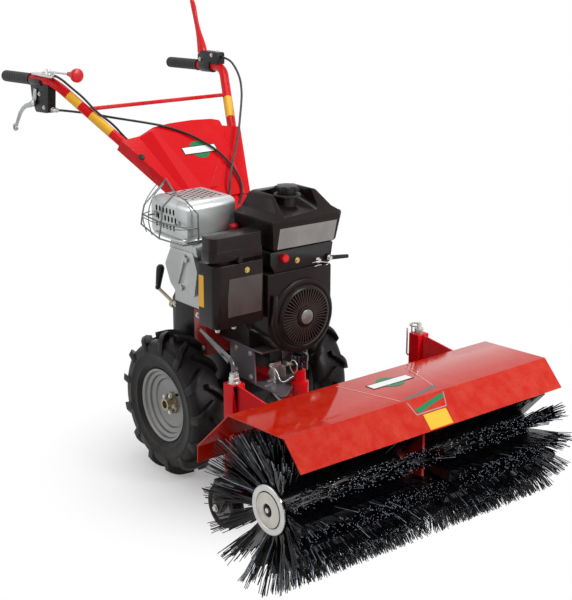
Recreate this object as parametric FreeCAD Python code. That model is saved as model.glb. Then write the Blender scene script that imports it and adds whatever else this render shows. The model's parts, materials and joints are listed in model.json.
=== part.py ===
import FreeCAD, Part
import math
import os

# Walk-behind single-axle tractor with a hooded front sweeping brush.
# Units: millimetres.  X points forward to the brush, Y to the machine's left, Z up.
# Every piece is drawn with the wheel axle above x = 0 and the ground at z = 0.
# save() then moves it by ORIGIN_X, so that the origin lies under the middle of
# the whole machine's box.

Vec = FreeCAD.Vector
X_AXIS = Vec(1, 0, 0)
Y_AXIS = Vec(0, 1, 0)
Z_AXIS = Vec(0, 0, 1)

# ---- driving dimensions -------------------------------------------------------
ORIGIN_X = -61.0            # wheel axle, seen from the middle of the whole length

WHEEL_R = 210.0             # drive wheels, out to the lug tips
WHEEL_Y = 224.0             # middle of each drive wheel
TYRE_HALF_WIDTH = 53.0
CARCASS_R = 190.0
RIM_R = 107.0
LUGS_PER_SIDE = 13
LUG_WIDTH = 19.0
TYRE_FACETS = 36
AXLE_R = 17.5
HOUSING_END_Y = 150.0

CRANK_Z = 507.0             # engine crankshaft, which runs along X at y = 0
STARTER_R = 88.0
STARTER_FACE_X = 325.0

BRUSH_X = 710.0             # brush axle
BRUSH_R = 200.0
BRUSH_HALF_WIDTH = 500.0    # tips of the outermost bristles
BRUSH_DISC_Y = 430.0        # outer face of the end discs
BRUSH_CORE_R = 50.0
BRUSH_ROWS = 14
BRUSH_PHASE = 8.9           # first row of bristles, turned from straight up

HOOD_HALF_WIDTH = 449.0
HOOD_SHEET = 3.0
HOOD_OUTLINE = [(442.0, 236.0), (444.0, 283.0), (578.0, 408.0), (797.0, 419.0), (860.0, 352.0)]

POST_X = 300.0              # upright post on which the brush unit swings
POST_R = 16.0
CASTER_X = 436.0            # upright stems of the two castors
CASTER_Y = 326.0
CASTER_R = 62.5
CASTER_TRAIL = 44.0
CASTER_HALF_WIDTH = 19.0
STEM_R = 12.5

TUBE_R = 14.5               # handlebar tube
GRIP_R = 17.5
GRIP_END = Vec(-788.0, 306.0, 1079.8)
GRIP_FRONT = Vec(-612.0, 306.0, 1086.2)
BAR_BEND = Vec(-478.0, 306.0, 1091.0)
BAR_FOOT = Vec(-60.0, 75.0, 740.0)
CONSOLE_ORIGIN = Vec(-292.0, 0.0, 936.0)
CONSOLE_DOWN = Vec(97.0, 0.0, -82.0).normalize()
CONSOLE_OUT = Vec(82.0, 0.0, 97.0).normalize()

CABLE_R = 3.5
SHAFT_GAP = 0.3             # radial room of a turning shaft in its bore


# ---- shape helpers ------------------------------------------------------------
def box(x0, x1, y0, y1, z0, z1):
    return Part.makeBox(x1 - x0, y1 - y0, z1 - z0, Vec(x0, y0, z0))


def rod(start, end, radius):
    """A round bar from one point to another."""
    run = end - start
    return Part.makeCylinder(radius, run.Length, start, run)


def sleeve(start, end, outer, inner):
    """A round bar with a bore right through it."""
    return rod(start, end, outer).cut(rod(start, end, inner))


def fuse_all(shapes):
    body = shapes[0]
    if len(shapes) > 1:
        body = body.fuse(shapes[1:])
    return body.removeSplitter()


def rounded_wire(corners, radii):
    """A closed wire through corners, each one rounded with its own radius."""
    count = len(corners)
    if not isinstance(radii, (list, tuple)):
        radii = [radii] * count
    edges = []
    ends = []
    for i in range(count):
        corner = corners[i]
        before = (corners[i - 1] - corner).normalize()
        after = (corners[(i + 1) % count] - corner).normalize()
        if radii[i] <= 0:
            ends.append((corner, corner, None))
            continue
        half = before.getAngle(after) / 2.0
        reach = radii[i] / math.tan(half)
        middle = (before + after).normalize()
        centre = corner + middle * (radii[i] / math.sin(half))
        nearest = centre - middle * radii[i]
        ends.append((corner + before * reach, corner + after * reach, nearest))
    for i in range(count):
        first, last, nearest = ends[i]
        if nearest is not None:
            edges.append(Part.Arc(first, nearest, last).toShape())
        following = ends[(i + 1) % count][0]
        if last.distanceToPoint(following) > 1e-6:
            edges.append(Part.LineSegment(last, following).toShape())
    return Part.Wire(edges)


def prism(corners, direction, radii=0):
    """A flat outline, its corners rounded, pulled along a direction."""
    return Part.Face(rounded_wire(corners, radii)).extrude(direction)


def prism_y(outline_xz, y0, y1, radii=0):
    return prism([Vec(x, y0, z) for x, z in outline_xz], Vec(0, y1 - y0, 0), radii)


def prism_x(outline_yz, x0, x1, radii=0):
    return prism([Vec(x0, y, z) for y, z in outline_yz], Vec(x1 - x0, 0, 0), radii)


def prism_z(outline_xy, z0, z1, radii=0):
    return prism([Vec(x, y, z0) for x, y in outline_xy], Vec(0, 0, z1 - z0), radii)


def turned(outline_rs, centre, axis):
    """A solid of revolution.  The outline holds (radius, distance along the axis)."""
    side = Vec(0, 0, 1)
    if abs(axis.z) > 0.9:
        side = Vec(1, 0, 0)
    corners = [centre + side * r + axis * s for r, s in outline_rs]
    face = Part.Face(Part.makePolygon(corners + corners[:1]))
    return face.revolve(centre, axis, 360)


def faceted(outline_rs, centre, sides):
    """Like turned() about Y, but with flat facets, so that it stays light."""
    faces = []
    count = len(outline_rs)
    for k in range(sides):
        low = 2 * math.pi * k / sides
        high = 2 * math.pi * (k + 1) / sides
        for i in range(count):
            r0, s0 = outline_rs[i]
            r1, s1 = outline_rs[(i + 1) % count]
            quad = [Vec(r0 * math.sin(low), s0, r0 * math.cos(low)),
                    Vec(r1 * math.sin(low), s1, r1 * math.cos(low)),
                    Vec(r1 * math.sin(high), s1, r1 * math.cos(high)),
                    Vec(r0 * math.sin(high), s0, r0 * math.cos(high))]
            faces.append(Part.Face(Part.makePolygon([centre + v for v in quad + quad[:1]])))
    solid = Part.makeSolid(Part.makeShell(faces))
    if solid.Volume < 0:
        solid.reverse()
    return solid


def bent_tube(points, radius, bends, bore=0.0):
    """A round tube along straight runs joined by tangent arcs."""
    edges = []
    start = points[0]
    for i in range(1, len(points) - 1):
        corner = points[i]
        back = (points[i - 1] - corner).normalize()
        ahead = (points[i + 1] - corner).normalize()
        half = back.getAngle(ahead) / 2.0
        bend = bends[i - 1]
        reach = bend / math.tan(half)
        middle = (back + ahead).normalize()
        nearest = corner + middle * (bend / math.sin(half) - bend)
        first = corner + back * reach
        last = corner + ahead * reach
        if start.distanceToPoint(first) > 1e-6:
            edges.append(Part.LineSegment(start, first).toShape())
        edges.append(Part.Arc(first, nearest, last).toShape())
        start = last
    edges.append(Part.LineSegment(start, points[-1]).toShape())
    path = Part.Wire(edges)
    direction = (points[1] - points[0]).normalize()
    outer = Part.Wire([Part.makeCircle(radius, points[0], direction)])
    tube = path.makePipeShell([outer], True, False)
    if bore > 0:
        inner = Part.Wire([Part.makeCircle(bore, points[0], direction)])
        tube = tube.cut(path.makePipeShell([inner], True, False))
    return tube


def cable_bends(points):
    """Bend radii as large as the runs of a cable allow."""
    bends = []
    for i in range(1, len(points) - 1):
        back = points[i - 1] - points[i]
        ahead = points[i + 1] - points[i]
        turn = math.pi - back.getAngle(ahead)
        bends.append(0.45 * min(back.Length, ahead.Length) / math.tan(turn / 2.0))
    return bends


def mirrored(shape):
    return shape.mirror(Vec(0, 0, 0), Y_AXIS)


def save(name, shape):
    moved = shape.copy()
    moved.translate(Vec(ORIGIN_X, 0, 0))
    moved.exportStep(os.path.join("parts", name + ".step"))
    print(name, len(moved.Solids), round(moved.Volume / 1000.0, 1), moved.isValid())


# ---- drive wheels ---------------------------------------------------------------
def tyre():
    """Open-centre tractor tyre: round carcass with two rows of slanting lugs."""
    w = TYRE_HALF_WIDTH
    half = [(RIM_R - 5.6, 39.5), (RIM_R + 1.6, 39.5), (RIM_R + 10, w - 5), (160, w), (178, w - 4),
            (CARCASS_R - 2, w - 22), (CARCASS_R, 0)]
    carcass = faceted([(r, -s) for r, s in half] + half[-2::-1], Vec(0, 0, WHEEL_R), TYRE_FACETS)
    half = [(158, w + 1), (196, w), (206, w - 12), (WHEEL_R, w - 30)]
    envelope = faceted([(r, -s) for r, s in half] + half[::-1], Vec(0, 0, WHEEL_R), TYRE_FACETS)
    lugs = []
    pitch = 360.0 / LUGS_PER_SIDE
    thick = LUG_WIDTH / 2
    for side in (-1, 1):
        for i in range(LUGS_PER_SIDE):
            outline = [Vec(-6 - thick, side * -6, 160), Vec(-6 + thick, side * -6, 160),
                       Vec(36 + thick, side * (w + 3), 160), Vec(36 - thick, side * (w + 3), 160)]
            lug = Part.Face(Part.makePolygon(outline + outline[:1])).extrude(Vec(0, 0, 60))
            lug.rotate(Vec(0, 0, 0), Y_AXIS, pitch * (i + 0.25 * side))
            lug.translate(Vec(0, 0, WHEEL_R))
            lugs.append(lug)
    tread = Part.makeCompound(lugs).common(envelope)
    return fuse_all([carcass] + tread.Solids)


def rim():
    """Pressed steel rim, its disc dished in three steps; the outer side is -Y."""
    return turned([(RIM_R, -43), (RIM_R, -40), (101, -39.5), (101, 39.5), (RIM_R, 40), (RIM_R, 43),
                   (100, 40), (97, 31), (97, -26.5), (90.5, -25), (88.5, -17), (76.5, -14), (73.5, -7),
                   (54, -5), (20, -5), (20, -9), (53, -9), (71, -11), (74, -18), (86, -21), (88, -29),
                   (97, -31), (100, -40)],
                  Vec(0, -WHEEL_Y, WHEEL_R), Y_AXIS)


def wheel_hub():
    """Pipe hub bolted to the rim's disc, with its stub shaft, which enters the axle housing."""
    centre = Vec(0, -WHEEL_Y, WHEEL_R)
    pipe = turned([(0, -12), (12, -12), (12, -35), (18, -35), (18, -14), (31, -14), (31, -9.1), (18, -9.1),
                   (18, -4.9), (40, -4.9), (40, 3), (0, 3)], centre, Y_AXIS)
    shaft = rod(Vec(0, -WHEEL_Y, WHEEL_R), Vec(0, -HOUSING_END_Y + 20, WHEEL_R), AXLE_R)
    bolts = []
    for i in range(5):
        turn = math.radians(72 * i + 20)
        spot = centre + Vec(25.5 * math.sin(turn), -19, 25.5 * math.cos(turn))
        bolts.append(rod(spot, spot + Y_AXIS * 6, 5))
    return fuse_all([pipe, shaft] + bolts)


# ---- tractor body ---------------------------------------------------------------
def axle_housing():
    """Cast transmission case around the axle, with a bore for each stub shaft."""
    tube = rod(Vec(0, -HOUSING_END_Y, WHEEL_R), Vec(0, HOUSING_END_Y, WHEEL_R), 34)
    collars = [rod(Vec(0, s * (HOUSING_END_Y - 25), WHEEL_R), Vec(0, s * HOUSING_END_Y, WHEEL_R), 44)
               for s in (-1, 1)]
    case = prism_y([(-78, 148), (70, 140), (92, 210), (78, 352), (-92, 352), (-96, 230)], -62, 62,
                   [30, 30, 26, 8, 8, 26])
    bores = [rod(Vec(0, s * (HOUSING_END_Y - 24), WHEEL_R), Vec(0, s * (HOUSING_END_Y + 1), WHEEL_R),
                 AXLE_R + SHAFT_GAP) for s in (-1, 1)]
    body = fuse_all([tube, case] + collars)
    return body.cut(Part.makeCompound(bores))


def gearbox_cover():
    """Black cover over the gearbox behind the engine."""
    return prism_y([(-112, 352), (0, 352), (0, 519), (-90, 519), (-112, 488)], -150, 150, [6, 0, 0, 10, 10])


def chassis_frame():
    """Red frame between gearbox and engine."""
    return prism_y([(0, 361), (60, 352), (60, 480), (0, 480)], -150, 150, 0)


def handlebar_column():
    """Column behind the engine, with the cross piece that holds both handlebar tubes."""
    post = prism_z([(-92, -42), (-32, -42), (-32, 42), (-92, 42)], 519, 702, 8)
    foot = box(-90, -6, -60, 60, 519, 531)
    cross = rod(Vec(-60, -90, 722), Vec(-60, 90, 722), 24)
    saddle = prism_y([(-96, 700), (-24, 700), (-34, 746), (-86, 746)], -40, 40, 4)
    return fuse_all([post, foot, cross, saddle]).cut(cable(CLUTCH_ROUTE)).cut(cable(DRIVE_ROUTE))


def handlebar_side():
    """One handlebar tube, on the left, from grip end to clamp."""
    run = (BAR_BEND - GRIP_END).normalize()
    tube = bent_tube([GRIP_END + run * 6, BAR_BEND, BAR_FOOT], TUBE_R, [95.0])
    return tube.cut(rod(Vec(-60, -110, 722), Vec(-60, 110, 722), 24))


def handlebar_crossbar():
    bar = rod(Vec(-389, -244, 1016), Vec(-389, 244, 1016), 6)
    return bar.cut(handlebar_side()).cut(mirrored(handlebar_side()))


def grips():
    """Rubber grips, each closed at its end."""
    run = (BAR_BEND - GRIP_END).normalize()
    body = rod(GRIP_END, GRIP_FRONT, GRIP_R)
    bore = rod(GRIP_END + run * 5.9, GRIP_FRONT + run, TUBE_R)
    left = body.cut(bore)
    return Part.makeCompound([left, mirrored(left)])


def console_point(down, side, out):
    return CONSOLE_ORIGIN + CONSOLE_DOWN * down + Y_AXIS * side + CONSOLE_OUT * out


def console_section(down, half, fold, crest, face, ridge, lift):
    """Folded sheet across the handlebar: side flanges, flat edges, raised middle with a facet."""
    t = 3.0
    top = [(-half, -20), (-half, 20), (fold, 20), (crest, 20 + lift), (face, 21.5 + lift), (ridge, 21 + lift),
           (ridge + 8, 20), (half, 20), (half, -20)]
    low = [(half - t, -20), (half - t, 20 - t), (ridge + 7, 20 - t), (ridge - 1, 21 - t + lift),
           (face + 1, 21.5 - t + lift), (crest + 1, 20 - t + lift), (fold + 1, 20 - t), (-half + t, 20 - t),
           (-half + t, -20)]
    corners = [console_point(down, y, h) for y, h in top + low]
    return Part.makePolygon(corners + corners[:1])


def handlebar_panel():
    """Red sheet over both handlebar tubes; its upper edge rises in the middle."""
    upper = console_section(-18, 230.4, -153, -108, -100, 151, 8.5)
    lower = console_section(275, 107.2, -100, -88, -38, 80, 2.5)
    sheet = Part.makeLoft([upper, lower], True, True)
    edge = [(-60, -260), (23, -260), (23, -211), (15, -148), (-4, -94), (-12, -31), (-15, 47), (-11, 118),
            (-3, 143), (11, 146), (23, 199), (23, 260), (-60, 260)]
    above = prism([console_point(v, y, -60) for v, y in edge], CONSOLE_OUT * 120)
    plug = rod(console_point(93, -180, 19.9), console_point(93, -180, 23), 9)
    return fuse_all([sheet.cut(above), plug])


# ---- engine ---------------------------------------------------------------------
def engine_block():
    """Crankcase and the finned cylinder lying towards the machine's right."""
    case = prism_x([(-105, 403), (110, 403), (118, 480), (100, 600), (80, 640), (-105, 640)], 60, 204,
                   [10, 10, 20, 12, 12, 6])
    fins = [box(62, 221, y, y + 5, 520, 603) for y in range(-195, -120, 12)]
    barrel = rod(Vec(118, -196, 557), Vec(118, -100, 557), 44)
    return fuse_all([case, barrel] + fins)


def cylinder_head():
    """Finned head with the tilted rocker cover, which a ridge and two bolts hold."""
    head = box(20, 182, -226, -196, 525, 668)
    outline = [(43, 687), (13, 635), (38, 584), (70, 560), (154, 567), (170, 640), (150, 690)]
    cover = prism_y(outline, -252, -226, [14, 14, 14, 12, 12, 14, 10])
    ridge = prism_y([(112, 680), (122, 680), (84, 590), (74, 590)], -258, -250, 3)
    bolts = [rod(Vec(x, -260, z), Vec(x, -250, z), 8) for x, z in ((99, 583), (125, 668))]
    return fuse_all([head, cover, ridge] + bolts)


def blower_housing():
    """Scroll-shaped fan housing around the starter."""
    return prism_x([(-118, 640), (-118, 470), (-70, 411), (66, 411), (104, 455), (104, 640)],
                   205, 308, [6, 40, 50, 50, 50, 10])


def recoil_starter():
    """Round starter cover with rings of air slots and a bare centre cap."""
    cover = turned([(0, 308), (STARTER_R, 308), (STARTER_R, 316), (STARTER_R - 8, STARTER_FACE_X),
                    (48, STARTER_FACE_X), (44.5, STARTER_FACE_X + 6), (0, STARTER_FACE_X + 7)],
                   Vec(0, 0, CRANK_Z), X_AXIS)
    slots = []
    for i in range(24):
        slot = box(STARTER_FACE_X - 7, STARTER_FACE_X + 2, -2.6, 2.6, 55, 74)
        slot.rotate(Vec(0, 0, 0), X_AXIS, 15.0 * i)
        slot.translate(Vec(0, 0, CRANK_Z))
        slots.append(slot)
    return cover.cut(Part.makeCompound(slots))


def starter_handle():
    bar = rod(Vec(318, -100, 582), Vec(318, -106, 500), 8)
    stem = rod(Vec(308, -103, 540), Vec(318, -103, 540), 6)
    return fuse_all([bar, stem])


def fuel_tank():
    """Moulded tank: flanged rim, stepped shoulders and a filler recess open to the front."""
    across = prism_x([(-98, 698), (-104, 782), (-84, 800), (-72, 846), (78, 846), (108, 800), (136, 782),
                      (116, 698)], 138, 314, [16, 8, 12, 16, 16, 14, 8, 16])
    along = prism_y([(138, 698), (138, 782), (172, 848), (262, 848), (300, 800), (312, 782), (308, 698)],
                    -105, 137, [12, 12, 22, 18, 14, 6, 12])
    lip = prism_z([(136, -107), (136, 139), (316, 139), (316, -107)], 774, 784, 18)
    recess = prism_x([(-68, 900), (-62, 822), (62, 822), (70, 900)], 196, 330, [0, 14, 14, 0])
    recess.rotate(Vec(196, 0, 822), Y_AXIS, 14)
    dish = rod(Vec(242, 0, 815), Vec(242, 0, 900), 50)
    body = fuse_all([across.common(along), lip])
    return fuse_all([body.cut(recess).cut(dish), rod(Vec(242, 0, 800), Vec(242, 0, 832), 25)])


def fuel_cap():
    """Filler cap with grip flutes around its rim."""
    cap = turned([(0, 832), (29, 832), (29, 858), (25, 862), (0, 862)], Vec(242, 0, 0), Z_AXIS)
    flutes = []
    for i in range(10):
        turn = math.radians(36 * i)
        spot = Vec(242 + 32 * math.cos(turn), 32 * math.sin(turn), 830)
        flutes.append(rod(spot, spot + Z_AXIS * 40, 6))
    return cap.cut(Part.makeCompound(flutes))


def control_panel():
    """Carburettor controls below the tank, with a choke knob and a lever."""
    plate = prism_x([(-104, 698), (-104, 664), (-90, 641), (104, 641), (114, 698)], 206, 302, 4)
    knob = rod(Vec(302, -64, 680), Vec(318, -64, 680), 11)
    screw = rod(Vec(302, 91, 657), Vec(314, 91, 657), 9)
    lever = prism_x([(91, 651), (91, 663), (160, 655), (160, 645)], 312, 317, 3)
    return fuse_all([plate, knob, screw, lever])


def cylinder_shroud():
    """Box-shaped cooling-air shroud beside the starter; its plate is blank."""
    return prism_z([(222, -288), (222, -124), (296, -124), (310, -138), (310, -290)], 518, 690,
                   [8, 0, 6, 6, 22])


def air_cleaner():
    """Air cleaner box with its cover joint and the wing knob below."""
    lower = prism_z([(240, -290), (240, -130), (300, -130), (306, -136), (306, -297)], 700, 727,
                    [12, 6, 4, 6, 20])
    upper = prism_z([(242, -288), (242, -132), (298, -132), (304, -138), (304, -295)], 727, 764,
                    [12, 6, 4, 6, 20])
    base = prism_z([(246, -270), (246, -146), (292, -146), (292, -270)], 690, 700, 8)
    knob = rod(Vec(292, -214, 699), Vec(316, -214, 699), 8)
    return fuse_all([lower, upper, base, knob])


def muffler():
    """Rounded heat-shield box of the exhaust, perforated on top and side."""
    along = prism_y([(-45, 705), (132, 705), (132, 825), (-45, 825)], -255, -94, [26, 30, 24, 30])
    across = prism_x([(-255, 704), (-94, 704), (-94, 826), (-255, 826)], -46, 133, [24, 10, 12, 26])
    pipe = rod(Vec(60, -210, 692), Vec(60, -210, 712), 18)
    return fuse_all([along.common(across), pipe])


def muffler_guard():
    """Zinc wire guard that stands off the side, the corner and the top of the exhaust box."""
    wire = 2.3
    foot = [Vec(-54, -284, 738), Vec(42, -288, 716), Vec(140, -276, 714), Vec(152, -232, 716)]
    crown = [Vec(-35, -284, 796), Vec(-49, -200, 856), Vec(70, -250, 842), Vec(126, -252, 830),
             Vec(150, -232, 796)]
    belt = [Vec(-46, -284, 768), Vec(56, -288, 762), Vec(146, -256, 758), Vec(151, -232, 758)]
    rib = [Vec(70, -250, 842), Vec(62, -288, 806), Vec(56, -288, 762), Vec(42, -288, 716)]
    pieces = []
    for line in (foot, crown, belt, rib, [foot[0], belt[0], crown[0]], [foot[3], belt[3], crown[4]]):
        pieces += [rod(line[i], line[i + 1], wire) for i in range(len(line) - 1)]
        pieces += [Part.makeSphere(wire, spot) for spot in line]
    for x, z in ((-22, 769.2), (92, 760.6)):
        pieces.append(rod(Vec(x, -255, z), Vec(x, -280, z), wire))
        pieces.append(box(x - 6, x + 6, -257, -255, z - 8, z + 8))
    return fuse_all(pieces)


def gear_lever():
    """Yellow rod bent outwards, with a black handle that is thickest at its top."""
    lever = rod(Vec(-120, -142, 468), Vec(-164, -165, 507), 5)
    boss = rod(Vec(-112, -140, 462), Vec(-128, -140, 462), 12)
    low = Part.Wire([Part.makeCircle(7.5, Vec(-165, -165, 505), Z_AXIS)])
    high = Part.Wire([Part.makeCircle(11.5, Vec(-148, -165, 568), Z_AXIS)])
    handle = Part.makeLoft([low, high], True)
    return fuse_all([lever, boss, handle, Part.makeSphere(11.4, Vec(-148, -165, 569))])


# ---- controls on the handlebar ----------------------------------------------------
def perch(body, x0, x1):
    """A lever bracket on the left tube: its clamp ring and its body."""
    rise = (BAR_BEND.z - GRIP_END.z) / (BAR_BEND.x - GRIP_END.x)
    ends = [Vec(x, GRIP_END.y, GRIP_END.z + rise * (x - GRIP_END.x)) for x in (x0, x1)]
    ring = rod(ends[0], ends[1], TUBE_R + 6)
    if body.BoundBox.ZMin < GRIP_END.z - 40:
        ring = ring.cut(box(x0 - 20, x1 + 20, GRIP_END.y - 40, GRIP_END.y + 40, 1092, 1140))
    return fuse_all([ring, body]).cut(handlebar_side())


def lever_perches():
    """Brackets of the hand lever, below the right tube, and of the clutch lever, on the left."""
    hanging = prism_y([(-602, 1080), (-490, 1080), (-500, 997), (-576, 993), (-596, 1030)], 293, 319,
                      [3, 3, 8, 10, 12])
    standing = prism_y([(-600, 1094), (-600, 1124), (-574, 1136), (-488, 1136), (-488, 1098)], 292, 320,
                       [4, 6, 8, 8, 4])
    return Part.makeCompound([mirrored(perch(hanging, -600, -530)), perch(standing, -590, -530)])


def drive_lever():
    """Curved alloy hand lever with a ball tip."""
    path = [Vec(-570, -325, 1022), Vec(-636, -318, 1006), Vec(-694, -310, 976), Vec(-742, -306, 925)]
    lever = bent_tube(path, 6, [70.0, 80.0])
    pivot = rod(Vec(-572, -318.2, 1020), Vec(-572, -331, 1020), 11)
    return fuse_all([lever, pivot, Part.makeSphere(11, path[-1])]).cut(lever_perches())


def clutch_lever():
    """Tall tapering safety clutch lever that stands above the left grip."""
    levels = [(16, -592, 1128), (14.5, -596, 1150), (9.5, -611, 1190), (8, -630, 1245), (7.5, -646, 1290)]
    rings = [Part.Wire([Part.makeCircle(r, Vec(x, 306, z), Z_AXIS)]) for r, x, z in levels]
    stem = Part.makeLoft(rings, True)
    tip = Part.makeSphere(7.4, Vec(-646, 306, 1290))
    return fuse_all([stem, tip]).cut(lever_perches())


def throttle_control():
    """Zinc plate on the right tube with the throttle lever and its mushroom knob."""
    plate = prism_z([(-600, -316), (-600, -296), (-573, -292), (-471, -292), (-471, -320), (-573, -320)],
                    1103.5, 1108.5, 5)
    pivot = rod(Vec(-520, -301, 1108), Vec(-520, -301, 1124), 8)
    arm = rod(Vec(-520, -301, 1117), Vec(-400, -292, 1119), 3)
    knob = turned([(0, -50), (6, -50), (8, -38), (9, -10), (18, -8), (20, -3), (20, 3), (14, 7), (0, 8)],
                  Vec(-366, -290, 1119), X_AXIS)
    return fuse_all([plate, pivot, arm, knob]).cut(lever_perches()).cut(mirrored(handlebar_side()))


CLUTCH_ROUTE = [Vec(-488, 306, 1122), Vec(-445, 306, 1120), Vec(-408, 304, 1098), Vec(-373, 298, 1065),
                Vec(-338, 278, 1026), Vec(-304, 250, 994), Vec(-270, 221, 971), Vec(-236, 192, 944),
                Vec(-204, 162, 916), Vec(-172, 131, 889), Vec(-139, 97, 862), Vec(-108, 66, 836),
                Vec(-82, 42, 812), Vec(-62, 26, 784), Vec(-56, 20, 746)]
DRIVE_ROUTE = [Vec(-494.5, -305, 1007), Vec(-470, -292, 1007), Vec(-446, -266, 1004), Vec(-426, -234, 999),
               Vec(-392, -211, 995), Vec(-348, -187, 990), Vec(-305, -157, 985), Vec(-284, -106, 974),
               Vec(-268, -54, 961), Vec(-253, -16, 946), Vec(-232, 14, 931), Vec(-206, 47, 908),
               Vec(-175, 73, 883), Vec(-143, 86, 855), Vec(-110, 91, 827), Vec(-81, 86, 798),
               Vec(-54, 68, 772), Vec(-44, 42, 742)]
THROTTLE_ROUTE = [Vec(-470, -306, 1110), Vec(-446, -300, 1104), Vec(-422, -280, 1078), Vec(-390, -258, 1050),
                  Vec(-352, -241, 1012), Vec(-322, -204, 977), Vec(-294, -182, 938), Vec(-262, -158, 905),
                  Vec(-226, -128, 874), Vec(-190, -98, 846), Vec(-150, -66, 822), Vec(-116, -46, 796),
                  Vec(-88, -35, 772), Vec(-60, -26, 756), Vec(-20, -14, 750), Vec(20, -6, 730),
                  Vec(62, -3, 697), Vec(110, -2, 675), Vec(158, -2, 669), Vec(205.5, -2, 668)]


def cable(route):
    bends = cable_bends(route)
    print("smallest bend", round(min(bends), 1))
    return bent_tube(route, CABLE_R, bends)


# ---- front of the tractor -----------------------------------------------------------
def front_cradle():
    """Grey sheet-steel carrier below the engine, with a nose plate between its wings."""
    floor = box(60, 250, -96, 96, 395, 401)
    wings = [prism_y([(100, 397), (206, 397), (214, 388), (219, 300), (104, 300)], y, y + 5,
                     [0, 0, 10, 0, 6]) for y in (-96, 91)]
    nose = prism_z([(214, -96), (354, -96), (236, 60), (214, 60)], 297, 301, [0, 10, 4, 0])
    tongue = box(216, 256, -90, -30, 301, 305)
    room = rod(Vec(POST_X, 0, 290), Vec(POST_X, 0, 410), 27)
    return fuse_all([floor, nose, tongue] + wings).cut(room)


def front_coupling():
    """Red draw tube with the upright post on which the brush unit swings."""
    draw = box(94, 300, -22, 22, 250, 294)
    post = rod(Vec(POST_X, 0, 206), Vec(POST_X, 0, 345), POST_R)
    base = rod(Vec(POST_X, 0, 272), Vec(POST_X, 0, 312), 25)
    foot = rod(Vec(POST_X, 0, 196), Vec(POST_X, 0, 208), 24)
    return fuse_all([draw, post, base, foot])


def coupling_knob():
    """Star knob on the post's screw."""
    stem = rod(Vec(POST_X, 0, 345), Vec(POST_X, 0, 374), 7)
    grip_body = rod(Vec(POST_X, 0, 373), Vec(POST_X, 0, 391), 24)
    flutes = []
    for i in range(7):
        turn = 2 * math.pi * i / 7
        spot = Vec(POST_X + 27 * math.cos(turn), 27 * math.sin(turn), 370)
        flutes.append(rod(spot, spot + Z_AXIS * 30, 6))
    return fuse_all([stem, grip_body.cut(Part.makeCompound(flutes))])


# ---- brush unit -----------------------------------------------------------------------
def hood_inside():
    """The hood outline moved inwards by the sheet's thickness."""
    inner = []
    count = len(HOOD_OUTLINE)
    for i in range(count):
        here = Vec(HOOD_OUTLINE[i][0], 0, HOOD_OUTLINE[i][1])
        sides = []
        for j in (i - 1, i):
            if 0 <= j < count - 1:
                run = Vec(HOOD_OUTLINE[j + 1][0] - HOOD_OUTLINE[j][0], 0,
                          HOOD_OUTLINE[j + 1][1] - HOOD_OUTLINE[j][1]).normalize()
                sides.append(Vec(run.z, 0, -run.x))
        if len(sides) == 1:
            step = sides[0] * HOOD_SHEET
        else:
            bisector = (sides[0] + sides[1]).normalize()
            step = bisector * (HOOD_SHEET / bisector.dot(sides[0]))
        inner.append((here.x + step.x, here.z + step.z))
    return inner


def hood():
    """Bent hood sheet, notched around the two castor housings."""
    outline = HOOD_OUTLINE + hood_inside()[::-1]
    sheet = prism_y(outline, -HOOD_HALF_WIDTH, HOOD_HALF_WIDTH)
    notch = box(CASTER_X - 24, CASTER_X + 24, CASTER_Y - 24, CASTER_Y + 24, 150, 440)
    return sheet.cut(notch).cut(mirrored(notch))


def swing_yoke():
    """Collar on the upright post, with the arm down to the beam between the castors."""
    collar = rod(Vec(POST_X, 0, 212), Vec(POST_X, 0, 246), POST_R + 14)
    arm = prism_y([(POST_X + 10, 244), (POST_X + 10, 214), (340, 214), (CASTER_X - 20, 190),
                   (CASTER_X - 20, 230), (380, 244)], -22, 22, 0)
    beam = box(CASTER_X - 20, CASTER_X + 20, -CASTER_Y + 20, CASTER_Y - 20, 190, 230)
    bore = rod(Vec(POST_X, 0, 200), Vec(POST_X, 0, 274), POST_R + SHAFT_GAP)
    return fuse_all([collar, arm, beam]).cut(bore)


def drive_case():
    """Flat chain case to the brush axle, with the plate that carries the hood."""
    x, z = BRUSH_X, BRUSH_R
    start = CASTER_X + 20
    case = prism_y([(start, 190), (660, 152), (x + 6, 148), (x + 6, 252), (660, 248), (start, 230)],
                   -13, 13, 0)
    plate = prism_y([(600, 190), (700, 96), (770, 92), (797, 116), (797, 407), (640, 400), (600, 380)], -4, 4,
                    [0, 8, 12, 12, 0, 0, 20])
    nose = rod(Vec(x, -34, z), Vec(x, 34, z), 56)
    bore = rod(Vec(x, -40, z), Vec(x, 40, z), AXLE_R + SHAFT_GAP)
    return fuse_all([case, plate, nose]).cut(bore).cut(hood_clearance())


def hood_clearance():
    """Everything above the hood's inner face, cut away from what stands below it."""
    inner = hood_inside()
    return prism_y(inner + [(inner[-1][0] + 80, 600), (inner[0][0] - 80, 600)], -60, 60)


def brush_core():
    """Brush axle with a core tube on each side of the drive case."""
    x, z = BRUSH_X, BRUSH_R
    axle = rod(Vec(x, -BRUSH_DISC_Y + 6, z), Vec(x, BRUSH_DISC_Y - 6, z), AXLE_R)
    tubes = [rod(Vec(x, s * 40, z), Vec(x, s * (BRUSH_DISC_Y - 6), z), BRUSH_CORE_R) for s in (-1, 1)]
    return fuse_all([axle] + tubes)


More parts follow.
